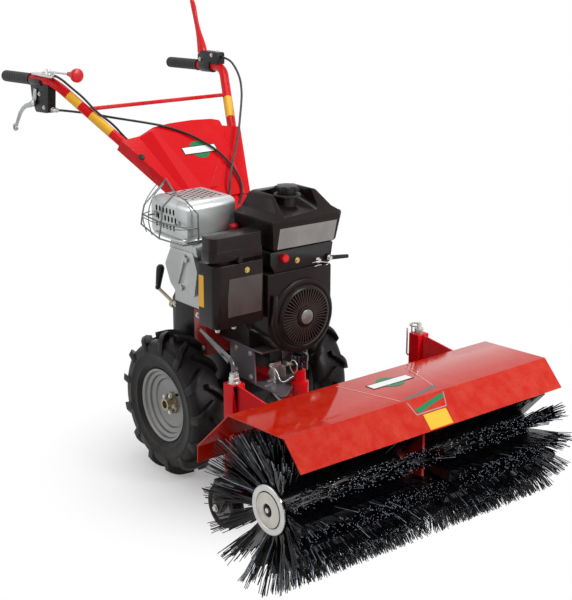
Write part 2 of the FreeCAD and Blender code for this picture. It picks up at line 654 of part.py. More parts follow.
def brush_half():
    """Left half of the brush: rows of bristles that flare at both ends."""
    x, z = BRUSH_X, BRUSH_R
    carrier = sleeve(Vec(x, 42, z), Vec(x, BRUSH_DISC_Y - 8, z), BRUSH_CORE_R + 8, BRUSH_CORE_R)
    tip_in, tip_out = 14.0, BRUSH_HALF_WIDTH
    rows = []
    for i in range(BRUSH_ROWS):
        root = [Vec(-4, 46, BRUSH_CORE_R + 4), Vec(4, 46, BRUSH_CORE_R + 4),
                Vec(4, BRUSH_DISC_Y - 14, BRUSH_CORE_R + 4), Vec(-4, BRUSH_DISC_Y - 14, BRUSH_CORE_R + 4)]
        tip = [Vec(-15, tip_in, BRUSH_R - 1), Vec(15, tip_in, BRUSH_R - 1),
               Vec(15, tip_out, BRUSH_R - 1), Vec(-15, tip_out, BRUSH_R - 1)]
        row = Part.makeLoft([Part.makePolygon(root + root[:1]), Part.makePolygon(tip + tip[:1])], True, True)
        row.rotate(Vec(0, 0, 0), Y_AXIS, BRUSH_PHASE + i * 360.0 / BRUSH_ROWS)
        row.translate(Vec(x, 0, z))
        rows.append(row)
    return fuse_all([carrier] + rows)


def brush_discs():
    """Outer end discs, each with its fixing bolt."""
    y = BRUSH_DISC_Y
    disc = turned([(0, y - 6), (63.5, y - 6), (63.5, y - 1), (60, y), (48, y), (47, y - 2), (28, y - 2),
                   (26, y - 3), (12, y - 3), (12, y + 6), (0, y + 6)],
                  Vec(BRUSH_X, 0, BRUSH_R), Y_AXIS)
    return Part.makeCompound([disc, mirrored(disc)])


def caster_housing():
    """Square upright on the left that holds a castor stem, with a gusset to the hood."""
    half = 20.0
    upright = prism_z([(CASTER_X - half, CASTER_Y - half), (CASTER_X + half, CASTER_Y - half),
                       (CASTER_X + half, CASTER_Y + half), (CASTER_X - half, CASTER_Y + half)], 160, 421, 2)
    gusset = prism_y([(CASTER_X + half - 2, 419), (574, 404.5), (459.5, 297.5), (CASTER_X + half - 2, 294.3)],
                     CASTER_Y - 3, CASTER_Y + 3)
    bore = rod(Vec(CASTER_X, CASTER_Y, 150), Vec(CASTER_X, CASTER_Y, 410), STEM_R + SHAFT_GAP)
    return fuse_all([upright, gusset]).cut(bore)


def housing_nut():
    """Nut, screw end and hanging spring clip on top of the left castor housing."""
    nut = rod(Vec(CASTER_X, CASTER_Y, 421), Vec(CASTER_X, CASTER_Y, 436), 13)
    screw = rod(Vec(CASTER_X, CASTER_Y, 434), Vec(CASTER_X, CASTER_Y, 452), 6)
    ring = turned([(14, 0), (18, 0), (18, 4), (14, 4)], Vec(CASTER_X - 14, CASTER_Y, 440), Z_AXIS)
    clip = bent_tube([Vec(CASTER_X - 29, CASTER_Y, 442), Vec(CASTER_X - 29, CASTER_Y, 350),
                      Vec(CASTER_X - 29, CASTER_Y - 18, 350), Vec(CASTER_X - 29, CASTER_Y - 18, 432)],
                     2.5, [8.0, 8.0])
    return fuse_all([nut, screw, ring, clip])


def swing_rod():
    """Bent zinc rod that rises towards the driver from an eye on the right castor housing."""
    foot = Vec(CASTER_X, -CASTER_Y, 421)
    eye = rod(foot, foot + Z_AXIS * 28, 11)
    path = [foot + Z_AXIS * 24, foot + Vec(-6, 0, 58), Vec(291, -326, 525)]
    pipe = rod(Vec(404, -317, 466), Vec(300, -317, 512), 5.5)
    return fuse_all([eye, bent_tube(path, 5, [28.0]), pipe, rod(Vec(380, -328, 486), Vec(380, -312, 477), 4)])


def caster_fork():
    """Swivelling stem and fork of the left castor."""
    y = CASTER_Y
    pin_x = CASTER_X - CASTER_TRAIL
    stem = rod(Vec(CASTER_X, y, 134), Vec(CASTER_X, y, 409), STEM_R)
    crown = prism_z([(pin_x - 12, y - 31), (CASTER_X + 20, y - 31), (CASTER_X + 20, y + 31),
                     (pin_x - 12, y + 31)], 133, 141, [4, 18, 18, 4])
    arms = []
    for side in (-1, 1):
        inner = y + side * (CASTER_HALF_WIDTH + 6)
        outline = [(pin_x - 12, 48), (pin_x + 12, 48), (CASTER_X + 16, 134), (pin_x - 12, 134)]
        arms.append(prism_y(outline, min(inner, inner + side * 6), max(inner, inner + side * 6), [10, 10, 0, 0]))
    pin = rod(Vec(pin_x, y - 33, CASTER_R), Vec(pin_x, y + 33, CASTER_R), 6)
    return fuse_all([stem, crown, pin] + arms)


def caster_wheel():
    """Plain rubber-tyred castor wheel, on the left."""
    h = CASTER_HALF_WIDTH
    half = [(6.0 + SHAFT_GAP, h + 3), (16, h + 3), (20, h - 4), (44, h), (56, h), (CASTER_R, h - 8)]
    return faceted([(r, -s) for r, s in half] + half[::-1], Vec(CASTER_X - CASTER_TRAIL, CASTER_Y, CASTER_R), 24)


PAIRED = {"rim": rim, "wheel_hub": wheel_hub, "handlebar_tube": handlebar_side}
PAIRED.update({"brush_half": brush_half, "caster_housing": caster_housing})
PAIRED.update({"caster_fork": caster_fork, "caster_wheel": caster_wheel})
DRAWN_ON_THE_RIGHT = ("rim", "wheel_hub")
SINGLE = [axle_housing, gearbox_cover, chassis_frame, handlebar_column, handlebar_crossbar]
SINGLE += [handlebar_panel, grips, lever_perches, drive_lever, clutch_lever, throttle_control]
SINGLE += [engine_block, cylinder_head, blower_housing, recoil_starter, starter_handle, fuel_tank]
SINGLE += [fuel_cap, control_panel, cylinder_shroud, air_cleaner, muffler, muffler_guard, gear_lever]
SINGLE += [front_cradle, front_coupling, coupling_knob, hood, swing_yoke, drive_case, brush_core]
SINGLE += [brush_discs, swing_rod, housing_nut]
CABLES = {"clutch_cable": CLUTCH_ROUTE, "drive_cable": DRIVE_ROUTE, "throttle_cable": THROTTLE_ROUTE}


def main():
    os.makedirs("parts", exist_ok=True)
    tread = tyre()
    for side, sign in (("right", -1), ("left", 1)):
        placed = tread.copy()
        placed.translate(Vec(0, sign * WHEEL_Y, 0))
        save("tyre_" + side, placed)
    for name, make in PAIRED.items():
        shape = make()
        drawn, other = ("right", "left") if name in DRAWN_ON_THE_RIGHT else ("left", "right")
        save(name + "_" + drawn, shape)
        save(name + "_" + other, mirrored(shape))
    for make in SINGLE:
        save(make.__name__, make())
    for name, route in CABLES.items():
        save(name, cable(route))


main()
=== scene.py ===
# %% [markdown]
# A walk-behind tractor with a sweeping brush, dressed for a picture.
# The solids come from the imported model: they hold every size, and the joints move them.
# Most solids are kept and only get rounded edges and a finish.  The pieces whose charm is in
# small detail are made again here: tyres, grips, bristles, cables, covers, discs and signs.

# %% Load the fixed frame
import bpy
import bmesh
import json
import math
from functools import partial
from mathutils import Matrix, Vector

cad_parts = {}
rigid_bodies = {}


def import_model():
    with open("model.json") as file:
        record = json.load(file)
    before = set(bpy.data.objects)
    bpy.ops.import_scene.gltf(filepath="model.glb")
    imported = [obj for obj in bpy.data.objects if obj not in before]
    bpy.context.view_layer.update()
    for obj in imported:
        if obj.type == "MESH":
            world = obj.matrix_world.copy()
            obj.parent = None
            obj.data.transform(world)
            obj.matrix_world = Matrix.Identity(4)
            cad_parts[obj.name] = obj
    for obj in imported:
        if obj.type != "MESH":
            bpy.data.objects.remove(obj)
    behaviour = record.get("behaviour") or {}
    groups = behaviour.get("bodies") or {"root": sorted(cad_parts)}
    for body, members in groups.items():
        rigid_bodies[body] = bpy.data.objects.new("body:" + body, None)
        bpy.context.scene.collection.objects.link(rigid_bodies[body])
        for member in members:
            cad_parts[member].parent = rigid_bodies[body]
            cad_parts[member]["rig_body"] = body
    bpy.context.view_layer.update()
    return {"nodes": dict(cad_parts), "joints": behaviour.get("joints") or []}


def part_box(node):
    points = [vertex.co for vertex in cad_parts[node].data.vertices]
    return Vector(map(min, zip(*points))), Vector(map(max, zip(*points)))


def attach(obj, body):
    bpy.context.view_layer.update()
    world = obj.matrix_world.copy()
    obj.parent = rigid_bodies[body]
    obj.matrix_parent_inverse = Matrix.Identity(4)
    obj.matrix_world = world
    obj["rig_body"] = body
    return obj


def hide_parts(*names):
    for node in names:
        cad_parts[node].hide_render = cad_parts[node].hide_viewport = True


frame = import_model()
nodes = frame["nodes"]
joint_at = {joint["name"]: joint["pos_m"] for joint in frame["joints"]}
AXLE_X = joint_at["wheel_left_spin"][0]
print("pieces in the frame:", len(nodes), "axle at x =", round(AXLE_X, 4))


# %% [markdown]
# All pieces are drawn from the wheel axle, in millimetres: x forward, y to the machine's
# left and z up from the ground.  One small function turns such a place into metres.

# %% Places and directions
def at(x, y, z):
    return Vector((x / 1000 + AXLE_X, y / 1000, z / 1000))


def mm(value):
    return value / 1000


FORWARD, LEFT, RIGHT, UP, DOWN = (1, 0, 0), (0, 1, 0), (0, -1, 0), (0, 0, 1), (0, 0, -1)
SIDES = (("left", 1), ("right", -1))
collection = bpy.context.scene.collection


def look_along(obj, direction):
    """Turns a camera or a lamp so that it looks along a direction."""
    obj.rotation_mode = "QUATERNION"
    obj.rotation_quaternion = Vector(direction).to_track_quat("-Z", "Y")


# %% [markdown]
# The camera stands to the right in front of the machine, a little above the tank.  A long
# lens from three and a half metres keeps the near brush end from looking too big.

# %% Camera
cam_data = bpy.data.cameras.new("camera")
cam_data.lens = 77.11
cam_data.sensor_width = 36
camera = bpy.data.objects.new("camera", cam_data)
camera.location = at(2930.9, -2131.1, 1574.8)
look_along(camera, (-0.75051, 0.59376, -0.29030))
collection.objects.link(camera)
bpy.context.scene.camera = camera
print("camera lens", cam_data.lens, "mm")


# %% [markdown]
# Shader and geometry trees are built with three small functions: one adds a node and links
# or sets its inputs, one adds a sum, and one starts a group with named sockets.

# %% Small helpers for node trees
def put(tree, kind, inputs=None, **settings):
    """Adds a node, sets its options, and links or sets its inputs; a node gives its first output."""
    made = tree.nodes.new(kind)
    for key, value in settings.items():
        setattr(made, key, value)
    for key, value in (inputs or {}).items():
        if isinstance(value, bpy.types.Node):
            value = value.outputs[0]
        if isinstance(value, bpy.types.NodeSocket):
            tree.links.new(value, made.inputs[key])
        else:
            made.inputs[key].default_value = value
    return made


def maths(tree, operation, a, b=0.0, clamp=False):
    return put(tree, "ShaderNodeMath", {0: a, 1: b}, operation=operation, use_clamp=clamp)


def new_group(name, kind, inputs, outputs):
    """A node group with named sockets; returns the tree, its inputs and its output node."""
    tree = bpy.data.node_groups.new(name, kind)
    for label, socket, value in inputs:
        made = tree.interface.new_socket(label, in_out="INPUT", socket_type="NodeSocket" + socket)
        if value is not None:
            made.default_value = value
    for label, socket in outputs:
        tree.interface.new_socket(label, in_out="OUTPUT", socket_type="NodeSocket" + socket)
    return tree, tree.nodes.new("NodeGroupInput").outputs, tree.nodes.new("NodeGroupOutput")


# %% [markdown]
# A plain studio.  The floor and the world look white to the camera and in reflections
# through Light Path, while the world's own light stays weak, so the object is not flooded
# with light to get a white picture.  Near the machine the floor shows its real shadows.

# %% World and floor
def to_eye(tree):
    """One for rays from the camera, through glass or off a mirror, and nothing for others."""
    path = put(tree, "ShaderNodeLightPath").outputs
    direct = maths(tree, "ADD", path["Is Camera Ray"], path["Is Transmission Ray"], True)
    return maths(tree, "ADD", direct, path["Is Glossy Ray"], True)


world = bpy.data.worlds.new("studio")
bpy.context.scene.world = world
bpy.context.scene.view_settings.view_transform = "Standard"
world.use_nodes = True
sky = world.node_tree
sky.nodes.clear()
lit = put(sky, "ShaderNodeBackground", {"Color": (1, 1, 1, 1), "Strength": 0.46})
seen = put(sky, "ShaderNodeBackground", {"Color": (1, 1, 1, 1), "Strength": 1.0})
sky_mix = put(sky, "ShaderNodeMixShader", {0: to_eye(sky), 1: lit, 2: seen})
put(sky, "ShaderNodeOutputWorld", {0: sky_mix})

FLOOR_HALF = 30
floor_mesh = bpy.data.meshes.new("floor")
floor_mesh.from_pydata([(x * FLOOR_HALF, y * FLOOR_HALF, 0) for x, y in ((-1, -1), (1, -1), (1, 1), (-1, 1))],
                       [], [(0, 1, 2, 3)])
floor = bpy.data.objects.new("floor", floor_mesh)
collection.objects.link(floor)
floor_paint = bpy.data.materials.new("floor_white")
floor_paint.use_nodes = True
ground = floor_paint.node_tree
ground.nodes.clear()
away = put(ground, "ShaderNodeVectorMath", {0: put(ground, "ShaderNodeTexCoord").outputs["Object"]},
           operation="LENGTH")
far = put(ground, "ShaderNodeMapRange", {"Value": away.outputs["Value"], "From Min": 0.12, "From Max": 0.68,
                                         "To Min": 0.2, "To Max": 1.0}, interpolation_type="SMOOTHSTEP")
white_share = maths(ground, "MULTIPLY", to_eye(ground), far.outputs["Result"])
matte = put(ground, "ShaderNodeBsdfDiffuse", {"Color": (0.92, 0.92, 0.92, 1)})
glow = put(ground, "ShaderNodeEmission", {"Strength": 1.0})
floor_mix = put(ground, "ShaderNodeMixShader", {0: white_share, 1: matte, 2: glow})
put(ground, "ShaderNodeOutputMaterial", {0: floor_mix})
floor_mesh.materials.append(floor_paint)

# %% [markdown]
# Three soft lamps: the key from the front and the machine's left, a weaker one from its right
# and rear, and one above.  The key is much the strongest, so the shadows fall one way.

# %% Lamps
LAMPS = {"key_lamp": ((3.3, 1.2, 2.3), (0, 0, 0.5), 1.2, 100),
         "side_lamp": ((-1.6, -3.2, 1.9), (0, 0, 0.6), 1.8, 20),
         "top_lamp": ((-0.4, 0.4, 3.4), (0.2, 0, 0.4), 1.6, 34)}
for lamp_name, (place, target, size, power) in LAMPS.items():
    lamp_data = bpy.data.lights.new(lamp_name, "AREA")
    lamp_data.size = size
    lamp_data.energy = power
    lamp = bpy.data.objects.new(lamp_name, lamp_data)
    lamp.location = place
    look_along(lamp, Vector(target) - Vector(place))
    collection.objects.link(lamp)

# %% [markdown]
# Three effects are shared by every finish, so each is one node group: an uneven tone (paint
# and plastic are never one flat colour), a fine grain for the bump, and the dust that a
# sweeping machine picks up near the ground, together with a painted highlight on sharp edges.

# %% Shared effect: uneven tone
CLOUD_RANGE = {"From Min": 0.3, "From Max": 0.7}
tone, tone_in, tone_out = new_group(
    "uneven_tone", "ShaderNodeTree",
    [("Place", "Vector", None), ("Colour", "Color", (0.5, 0.5, 0.5, 1)),
     ("Second", "Color", (0.4, 0.4, 0.4, 1)), ("Size", "Float", 8.0), ("Amount", "Float", 0.5),
     ("Gloss low", "Float", 0.3), ("Gloss high", "Float", 0.5)],
    [("Colour", "Color"), ("Roughness", "Float")])
clouds = put(tone, "ShaderNodeTexNoise", {"Vector": tone_in["Place"], "Scale": tone_in["Size"], "Detail": 4.0,
                                         "Roughness": 0.6}).outputs["Fac"]
spread = put(tone, "ShaderNodeMapRange", {"Value": clouds, **CLOUD_RANGE}).outputs["Result"]
second_share = maths(tone, "MULTIPLY", spread, tone_in["Amount"])
blend = put(tone, "ShaderNodeMix", {0: second_share, 6: tone_in["Colour"], 7: tone_in["Second"]},
            data_type="RGBA")
gloss = put(tone, "ShaderNodeMapRange", {"Value": clouds, **CLOUD_RANGE, "To Min": tone_in["Gloss low"],
                                         "To Max": tone_in["Gloss high"]})
tone.links.new(blend.outputs[2], tone_out.inputs["Colour"])
tone.links.new(gloss.outputs["Result"], tone_out.inputs["Roughness"])

# %% Shared effect: fine grain
grain, grain_in, grain_out = new_group(
    "fine_grain", "ShaderNodeTree",
    [("Place", "Vector", None), ("Size", "Float", 900.0), ("Depth", "Float", 0.1), ("Waves", "Float", 0.1)],
    [("Normal", "Vector")])
fine = put(grain, "ShaderNodeTexNoise", {"Vector": grain_in["Place"], "Scale": grain_in["Size"],
                                         "Detail": 2.0})
broad = put(grain, "ShaderNodeTexNoise", {"Vector": grain_in["Place"], "Scale": 14.0, "Detail": 1.0})
relief = maths(grain, "ADD", maths(grain, "MULTIPLY", broad.outputs["Fac"], grain_in["Waves"]),
               maths(grain, "MULTIPLY", fine.outputs["Fac"], grain_in["Depth"]))
bump = put(grain, "ShaderNodeBump", {"Height": relief, "Strength": 1.0, "Distance": 0.002})
grain.links.new(bump.outputs["Normal"], grain_out.inputs["Normal"])

# %% Shared effect: dust and painted edge highlights
dust, dust_in, dust_out = new_group(
    "dust_and_edge_highlights", "ShaderNodeTree",
    [("Place", "Vector", None), ("Colour", "Color", (0.5, 0.5, 0.5, 1)), ("Roughness", "Float", 0.4),
     ("Dust", "Color", (0.34, 0.30, 0.25, 1)), ("Amount", "Float", 0.2), ("Reach", "Float", 0.35),
     ("Edge", "Color", (0.6, 0.6, 0.6, 1)), ("Edge amount", "Float", 0.2)],
    [("Colour", "Color"), ("Roughness", "Float")])
above = put(dust, "ShaderNodeSeparateXYZ", {0: dust_in["Place"]}).outputs["Z"]
low = put(dust, "ShaderNodeMapRange", {"Value": above, "From Min": dust_in["Reach"], "From Max": 0.0})
specks = put(dust, "ShaderNodeTexNoise", {"Vector": dust_in["Place"], "Scale": 22.0, "Detail": 6.0,
                                          "Roughness": 0.7})
patchy = put(dust, "ShaderNodeMapRange", {"Value": specks.outputs["Fac"], "From Min": 0.4, "From Max": 0.75})
held = maths(dust, "MULTIPLY", low.outputs["Result"], patchy.outputs["Result"])
dusty = maths(dust, "MULTIPLY", held, dust_in["Amount"], clamp=True)
# Sharp edges, found by pointiness, turn towards the Edge colour in patches: a painted highlight.
pointed = put(dust, "ShaderNodeNewGeometry").outputs["Pointiness"]
sharp = put(dust, "ShaderNodeMapRange", {"Value": pointed, "From Min": 0.53, "From Max": 0.62})
patchy_edge_highlight = maths(dust, "MULTIPLY", sharp.outputs["Result"], patchy.outputs["Result"])
edge_highlight_share = maths(dust, "MULTIPLY", patchy_edge_highlight, dust_in["Edge amount"], clamp=True)
edged = put(dust, "ShaderNodeMix", {0: edge_highlight_share, 6: dust_in["Colour"], 7: dust_in["Edge"]}, data_type="RGBA")
dulled = put(dust, "ShaderNodeMix", {0: dusty, 6: edged.outputs[2], 7: dust_in["Dust"]}, data_type="RGBA")
rough = put(dust, "ShaderNodeMix", {0: dusty, 2: dust_in["Roughness"], 3: 0.9}, data_type="FLOAT")
dust.links.new(dulled.outputs[2], dust_out.inputs["Colour"])
dust.links.new(rough.outputs[0], dust_out.inputs["Roughness"])


# %% [markdown]
# Each finish is one Principled shader fed by those three groups, and only numbers differ:
# two colours that the tone moves between, the lowest and highest roughness, and options.

# %% The finishes
def finish(name, colour, second, gloss_range, metallic=0.0, tone_size=7.0, grain_size=900.0, depth=0.05,
           waves=0.05, dust_amount=0.25, edge=(0.6, 0.6, 0.6), edge_amount=0.0, specular=0.5):
    made = bpy.data.materials.new(name)
    made.use_nodes = True
    tree = made.node_tree
    tree.nodes.clear()
    place = put(tree, "ShaderNodeTexCoord").outputs["Object"]
    uneven = put(tree, "ShaderNodeGroup", {
        "Place": place, "Colour": (*colour, 1), "Second": (*second, 1), "Size": tone_size,
        "Gloss low": gloss_range[0], "Gloss high": gloss_range[1]}, node_tree=tone).outputs
    worn = put(tree, "ShaderNodeGroup", {
        "Place": place, "Colour": uneven["Colour"], "Roughness": uneven["Roughness"], "Amount": dust_amount,
        "Edge": (*edge, 1), "Edge amount": edge_amount}, node_tree=dust).outputs
    bumps = put(tree, "ShaderNodeGroup", {"Place": place, "Size": grain_size, "Depth": depth, "Waves": waves},
                node_tree=grain).outputs
    shader = put(tree, "ShaderNodeBsdfPrincipled", {
        "Base Color": worn["Colour"], "Roughness": worn["Roughness"], "Normal": bumps["Normal"],
        "Metallic": metallic, "Specular IOR Level": specular})
    put(tree, "ShaderNodeOutputMaterial", {0: shader})
    return made


# Where an edge amount is given, the edge colour is a painted highlight on sharp edges, lighter than the
# finish.
red_paint = finish("red_paint", (0.62, 0.004, 0.008), (0.56, 0.003, 0.007), (0.14, 0.22), waves=0.04,
                   depth=0.015, edge=(0.8, 0.2, 0.2), edge_amount=0.35, specular=0.1)
hood_paint = finish("hood_paint", (0.47, 0.009, 0.0005), (0.46, 0.009, 0.0005), (0.06, 0.08), waves=0.008,
                    depth=0.008, dust_amount=0.08, edge=(0.8, 0.25, 0.15), edge_amount=0.4, specular=0.2)
sheet_red = finish("sheet_red", (0.62, 0.004, 0.008), (0.57, 0.003, 0.007), (0.14, 0.2), tone_size=5,
                   dust_amount=0.0, specular=0.12)
# The next finish is the red paint at about half its brightness: painted shade for the frame, drive case and
# yoke under the engine and hood.
red_painted_shade = finish("red_paint_painted_shade", (0.30, 0.006, 0.006), (0.24, 0.005, 0.005), (0.25, 0.4), specular=0.25,
                  dust_amount=0.35, edge=(0.5, 0.2, 0.15), edge_amount=0.4)
red_plastic = finish("red_plastic", (0.62, 0.006, 0.010), (0.52, 0.005, 0.009), (0.22, 0.3), specular=0.3)
black_paint = finish("black_paint", (0.008, 0.007, 0.007), (0.014, 0.012, 0.012), (0.22, 0.36), specular=0.2,
                     edge=(0.10, 0.10, 0.10), edge_amount=0.4)
engine_black = finish("engine_black", (0.008, 0.007, 0.007), (0.016, 0.013, 0.013), (0.3, 0.45), depth=0.25,
                      grain_size=500, edge=(0.1, 0.1, 0.1), edge_amount=0.5, specular=0.22)
black_plastic = finish("black_plastic", (0.011, 0.007, 0.0075), (0.019, 0.012, 0.012), (0.18, 0.28),
                       depth=0.06, edge=(0.10, 0.09, 0.09), edge_amount=0.5, dust_amount=0.03, specular=0.13)
matte_black = finish("matte_black", (0.007, 0.006, 0.006), (0.012, 0.011, 0.011), (0.3, 0.42), depth=0.2,
                     specular=0.24)
knob_black = finish("knob_black", (0.004, 0.004, 0.006), (0.006, 0.006, 0.009), (0.06, 0.12), tone_size=14,
                    dust_amount=0.0, specular=0.6)
# The next finish is a flat black put in holes, slots, a recess and behind the starter ribs: painted shade.
painted_shade_black = finish("painted_shade_black", (0.003, 0.003, 0.003), (0.006, 0.006, 0.006), (0.6, 0.8), specular=0.1)
tyre_rubber = finish("tyre_rubber", (0.005, 0.0042, 0.0045), (0.012, 0.010, 0.010), (0.30, 0.46), depth=0.3,
                     grain_size=420, dust_amount=0.10, edge=(0.06, 0.055, 0.058), edge_amount=0.5,
                     tone_size=18, specular=0.14)
grip_rubber = finish("grip_rubber", (0.008, 0.007, 0.007), (0.014, 0.012, 0.012), (0.42, 0.56), depth=0.3,
                     grain_size=700, specular=0.35)
cable_black = finish("cable_black", (0.006, 0.006, 0.006), (0.010, 0.010, 0.010), (0.26, 0.38), tone_size=30,
                     specular=0.4)
bristle = finish("bristle", (0.002, 0.002, 0.003), (0.004, 0.004, 0.007), (0.2, 0.32), tone_size=60,
                 dust_amount=0.02, specular=0.28)
# The next finish is a pale blue-grey for a share of the strands and every strand's tip: painted highlights.
painted_bristle_highlight = finish("bristle_painted_highlight", (0.16, 0.18, 0.23), (0.40, 0.43, 0.48), (0.15, 0.25), tone_size=70,
                      dust_amount=0.0)
rim_silver = finish("rim_silver", (0.24, 0.24, 0.24), (0.16, 0.16, 0.16), (0.26, 0.4), metallic=0.5,
                    dust_amount=0.3, edge=(0.55, 0.55, 0.55), edge_amount=0.4)
zinc = finish("zinc", (0.62, 0.62, 0.60), (0.46, 0.47, 0.47), (0.22, 0.34), metallic=0.75, tone_size=30,
              depth=0.1)
guard_zinc = finish("guard_zinc", (0.17, 0.19, 0.185), (0.11, 0.12, 0.12), (0.25, 0.36), metallic=0.75,
                    tone_size=30)
dark_steel = finish("dark_steel", (0.10, 0.10, 0.10), (0.05, 0.05, 0.05), (0.14, 0.26), metallic=0.8,
                    tone_size=30)
yellow_zinc = finish("yellow_zinc", (0.40, 0.34, 0.22), (0.26, 0.23, 0.17), (0.26, 0.42), metallic=0.8,
                     tone_size=40)
brass = finish("brass", (0.62, 0.45, 0.18), (0.45, 0.32, 0.12), (0.25, 0.4), metallic=0.95, tone_size=40)
alloy = finish("cast_alloy", (0.42, 0.43, 0.43), (0.28, 0.29, 0.29), (0.3, 0.46), metallic=0.8, depth=0.3,
               grain_size=650)
muffler_steel = finish("muffler_steel", (0.56, 0.58, 0.58), (0.42, 0.43, 0.43), (0.34, 0.46), metallic=0.8,
                       tone_size=16, waves=0.3, depth=0.04)
grey_sheet = finish("grey_sheet", (0.18, 0.16, 0.18), (0.12, 0.105, 0.12), (0.26, 0.4), metallic=0.4)
core_steel = finish("core_steel", (0.05, 0.042, 0.036), (0.03, 0.026, 0.022), (0.4, 0.55), metallic=0.5)
rib_brown = finish("rib_brown", (0.050, 0.040, 0.038), (0.036, 0.030, 0.028), (0.2, 0.3), tone_size=14)
disc_white = finish("disc_white", (0.66, 0.64, 0.58), (0.50, 0.47, 0.42), (0.28, 0.42), metallic=0.3,
                    dust_amount=0.5, tone_size=25)
label_yellow = finish("label_yellow", (0.80, 0.43, 0.03), (0.74, 0.39, 0.03), (0.3, 0.36), tone_size=30,
                      dust_amount=0.1, specular=0.2)
label_grey = finish("label_grey", (0.034, 0.028, 0.026), (0.070, 0.064, 0.062), (0.16, 0.24), tone_size=12,
                    dust_amount=0.0)
plate_silver = finish("plate_silver", (0.24, 0.235, 0.225), (0.12, 0.115, 0.11), (0.2, 0.3), metallic=0.4,
                      tone_size=14, dust_amount=0.0)
badge_white = finish("badge_white", (0.80, 0.80, 0.80), (0.72, 0.72, 0.72), (0.25, 0.32), tone_size=30)
outline_grey = finish("label_white", (0.34, 0.22, 0.21), (0.28, 0.18, 0.17), (0.3, 0.4), tone_size=30)
pale_line = finish("pale_line", (0.80, 0.34, 0.30), (0.74, 0.30, 0.27), (0.3, 0.4), tone_size=30)
stripe_green = finish("stripe_green", (0.008, 0.19, 0.075), (0.006, 0.15, 0.055), (0.3, 0.38), tone_size=30,
                      specular=0.2)
print("finishes:", len(bpy.data.materials))


# %% [markdown]
# Pieces made here end as plain meshes at the origin, with their place in the mesh.  Each one
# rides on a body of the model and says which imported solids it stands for.

# %% Helpers that make and place pieces
def new_object(name, mesh, material=None):
    """An object at the origin; a material that is given becomes its only one."""
    obj = bpy.data.objects.new(name, mesh)
    collection.objects.link(obj)
    if material is not None:
        mesh.materials.clear()
        mesh.materials.append(material)
    return obj


def place_piece(obj, body, stands_for=()):
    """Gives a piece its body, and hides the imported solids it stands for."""
    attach(obj, body)
    if stands_for:
        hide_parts(*stands_for)
    return obj


def bake_modifiers(obj):
    """Replaces an object's mesh by what its modifiers make of it."""
    graph = bpy.context.evaluated_depsgraph_get()
    result = bpy.data.meshes.new_from_object(obj.evaluated_get(graph), depsgraph=graph)
    obj.modifiers.clear()
    old = obj.data
    obj.data = result
    if isinstance(old, bpy.types.Mesh) and old.users == 0:
        bpy.data.meshes.remove(old)
    return obj


def smooth_by_angle(mesh, degrees=32):
    """Shades a mesh smooth, but keeps the edges that turn more than an angle sharp."""
    mesh.polygons.foreach_set("use_smooth", [True] * len(mesh.polygons))
    work = bmesh.new()
    work.from_mesh(mesh)
    limit = math.radians(degrees)
    for edge in work.edges:
        edge.smooth = not edge.is_manifold or edge.calc_face_angle(0) < limit
    work.to_mesh(mesh)
    work.free()


def from_bmesh(name, work, material, angle=32):
    mesh = bpy.data.meshes.new(name)
    bmesh.ops.recalc_face_normals(work, faces=work.faces)
    work.to_mesh(mesh)
    work.free()
    smooth_by_angle(mesh, angle)
    return new_object(name, mesh, material)


def soften(obj, width, segments=2, angle=30):
    """Rounds the edges that turn more than an angle; the width is in mm."""
    soft = obj.modifiers.new("edges", "BEVEL")
    soft.width = mm(width)
    soft.segments = segments
    soft.limit_method = "ANGLE"
    soft.angle_limit = math.radians(angle)
    return bake_modifiers(obj)


def skin(work, rings):
    """Closes a body through rings of points: sides between them and a cap at both ends."""
    rings = [[work.verts.new(point) for point in points] for points in rings]
    work.faces.new(rings[0][::-1])
    work.faces.new(rings[-1])
    for a, b in zip(rings, rings[1:]):
        for k in range(len(a)):
            j = (k + 1) % len(a)
            work.faces.new([a[k], a[j], b[j], b[k]])


def loft(name, rings, material, angle=30):
    """A closed body through rings of points, given in metres."""
    work = bmesh.new()
    skin(work, rings)
    return from_bmesh(name, work, material, angle)


def lathe(name, outline, centre, axis, material, steps=96):
    """Turns an outline of (radius, distance along the axis), in mm, round an axis.

    An outline that starts away from the axis is closed into a ring.
    """
    axis = Vector(axis).normalized()
    side = axis.orthogonal().normalized()
    other = axis.cross(side)
    work = bmesh.new()
    rings = []
    for r, s in outline:
        if r <= 0:
            rings.append([work.verts.new(centre + axis * mm(s))])
            continue
        turns = [2 * math.pi * k / steps for k in range(steps)]
        rings.append([work.verts.new(centre + axis * mm(s) + side * mm(r * math.cos(a))
                                     + other * mm(r * math.sin(a))) for a in turns])
    pairs = list(zip(rings, rings[1:]))
    if outline[0][0] > 0:
        pairs.append((rings[-1], rings[0]))
    for a, b in pairs:
        for k in range(steps):
            corners = [a[k % len(a)], a[(k + 1) % len(a)], b[(k + 1) % len(b)], b[k % len(b)]]
            unique = list(dict.fromkeys(corners))
            if len(unique) > 2:
                work.faces.new(unique)
    return from_bmesh(name, work, material)


def slab(name, corners, thickness, material, bevel=0.6, segments=2):
    """A flat outline in space given a thickness along its normal, its edges rounded."""
    points = [Vector(c) for c in corners]
    normal = Vector((0, 0, 0))
    for k in range(len(points)):
        normal += (points[k] - points[0]).cross(points[(k + 1) % len(points)] - points[0])
    normal.normalize()
    obj = loft(name, [points, [p + normal * mm(thickness) for p in points]], material)
    if bevel > 0:
        soften(obj, bevel, segments)
        smooth_by_angle(obj.data, 40)
    return obj


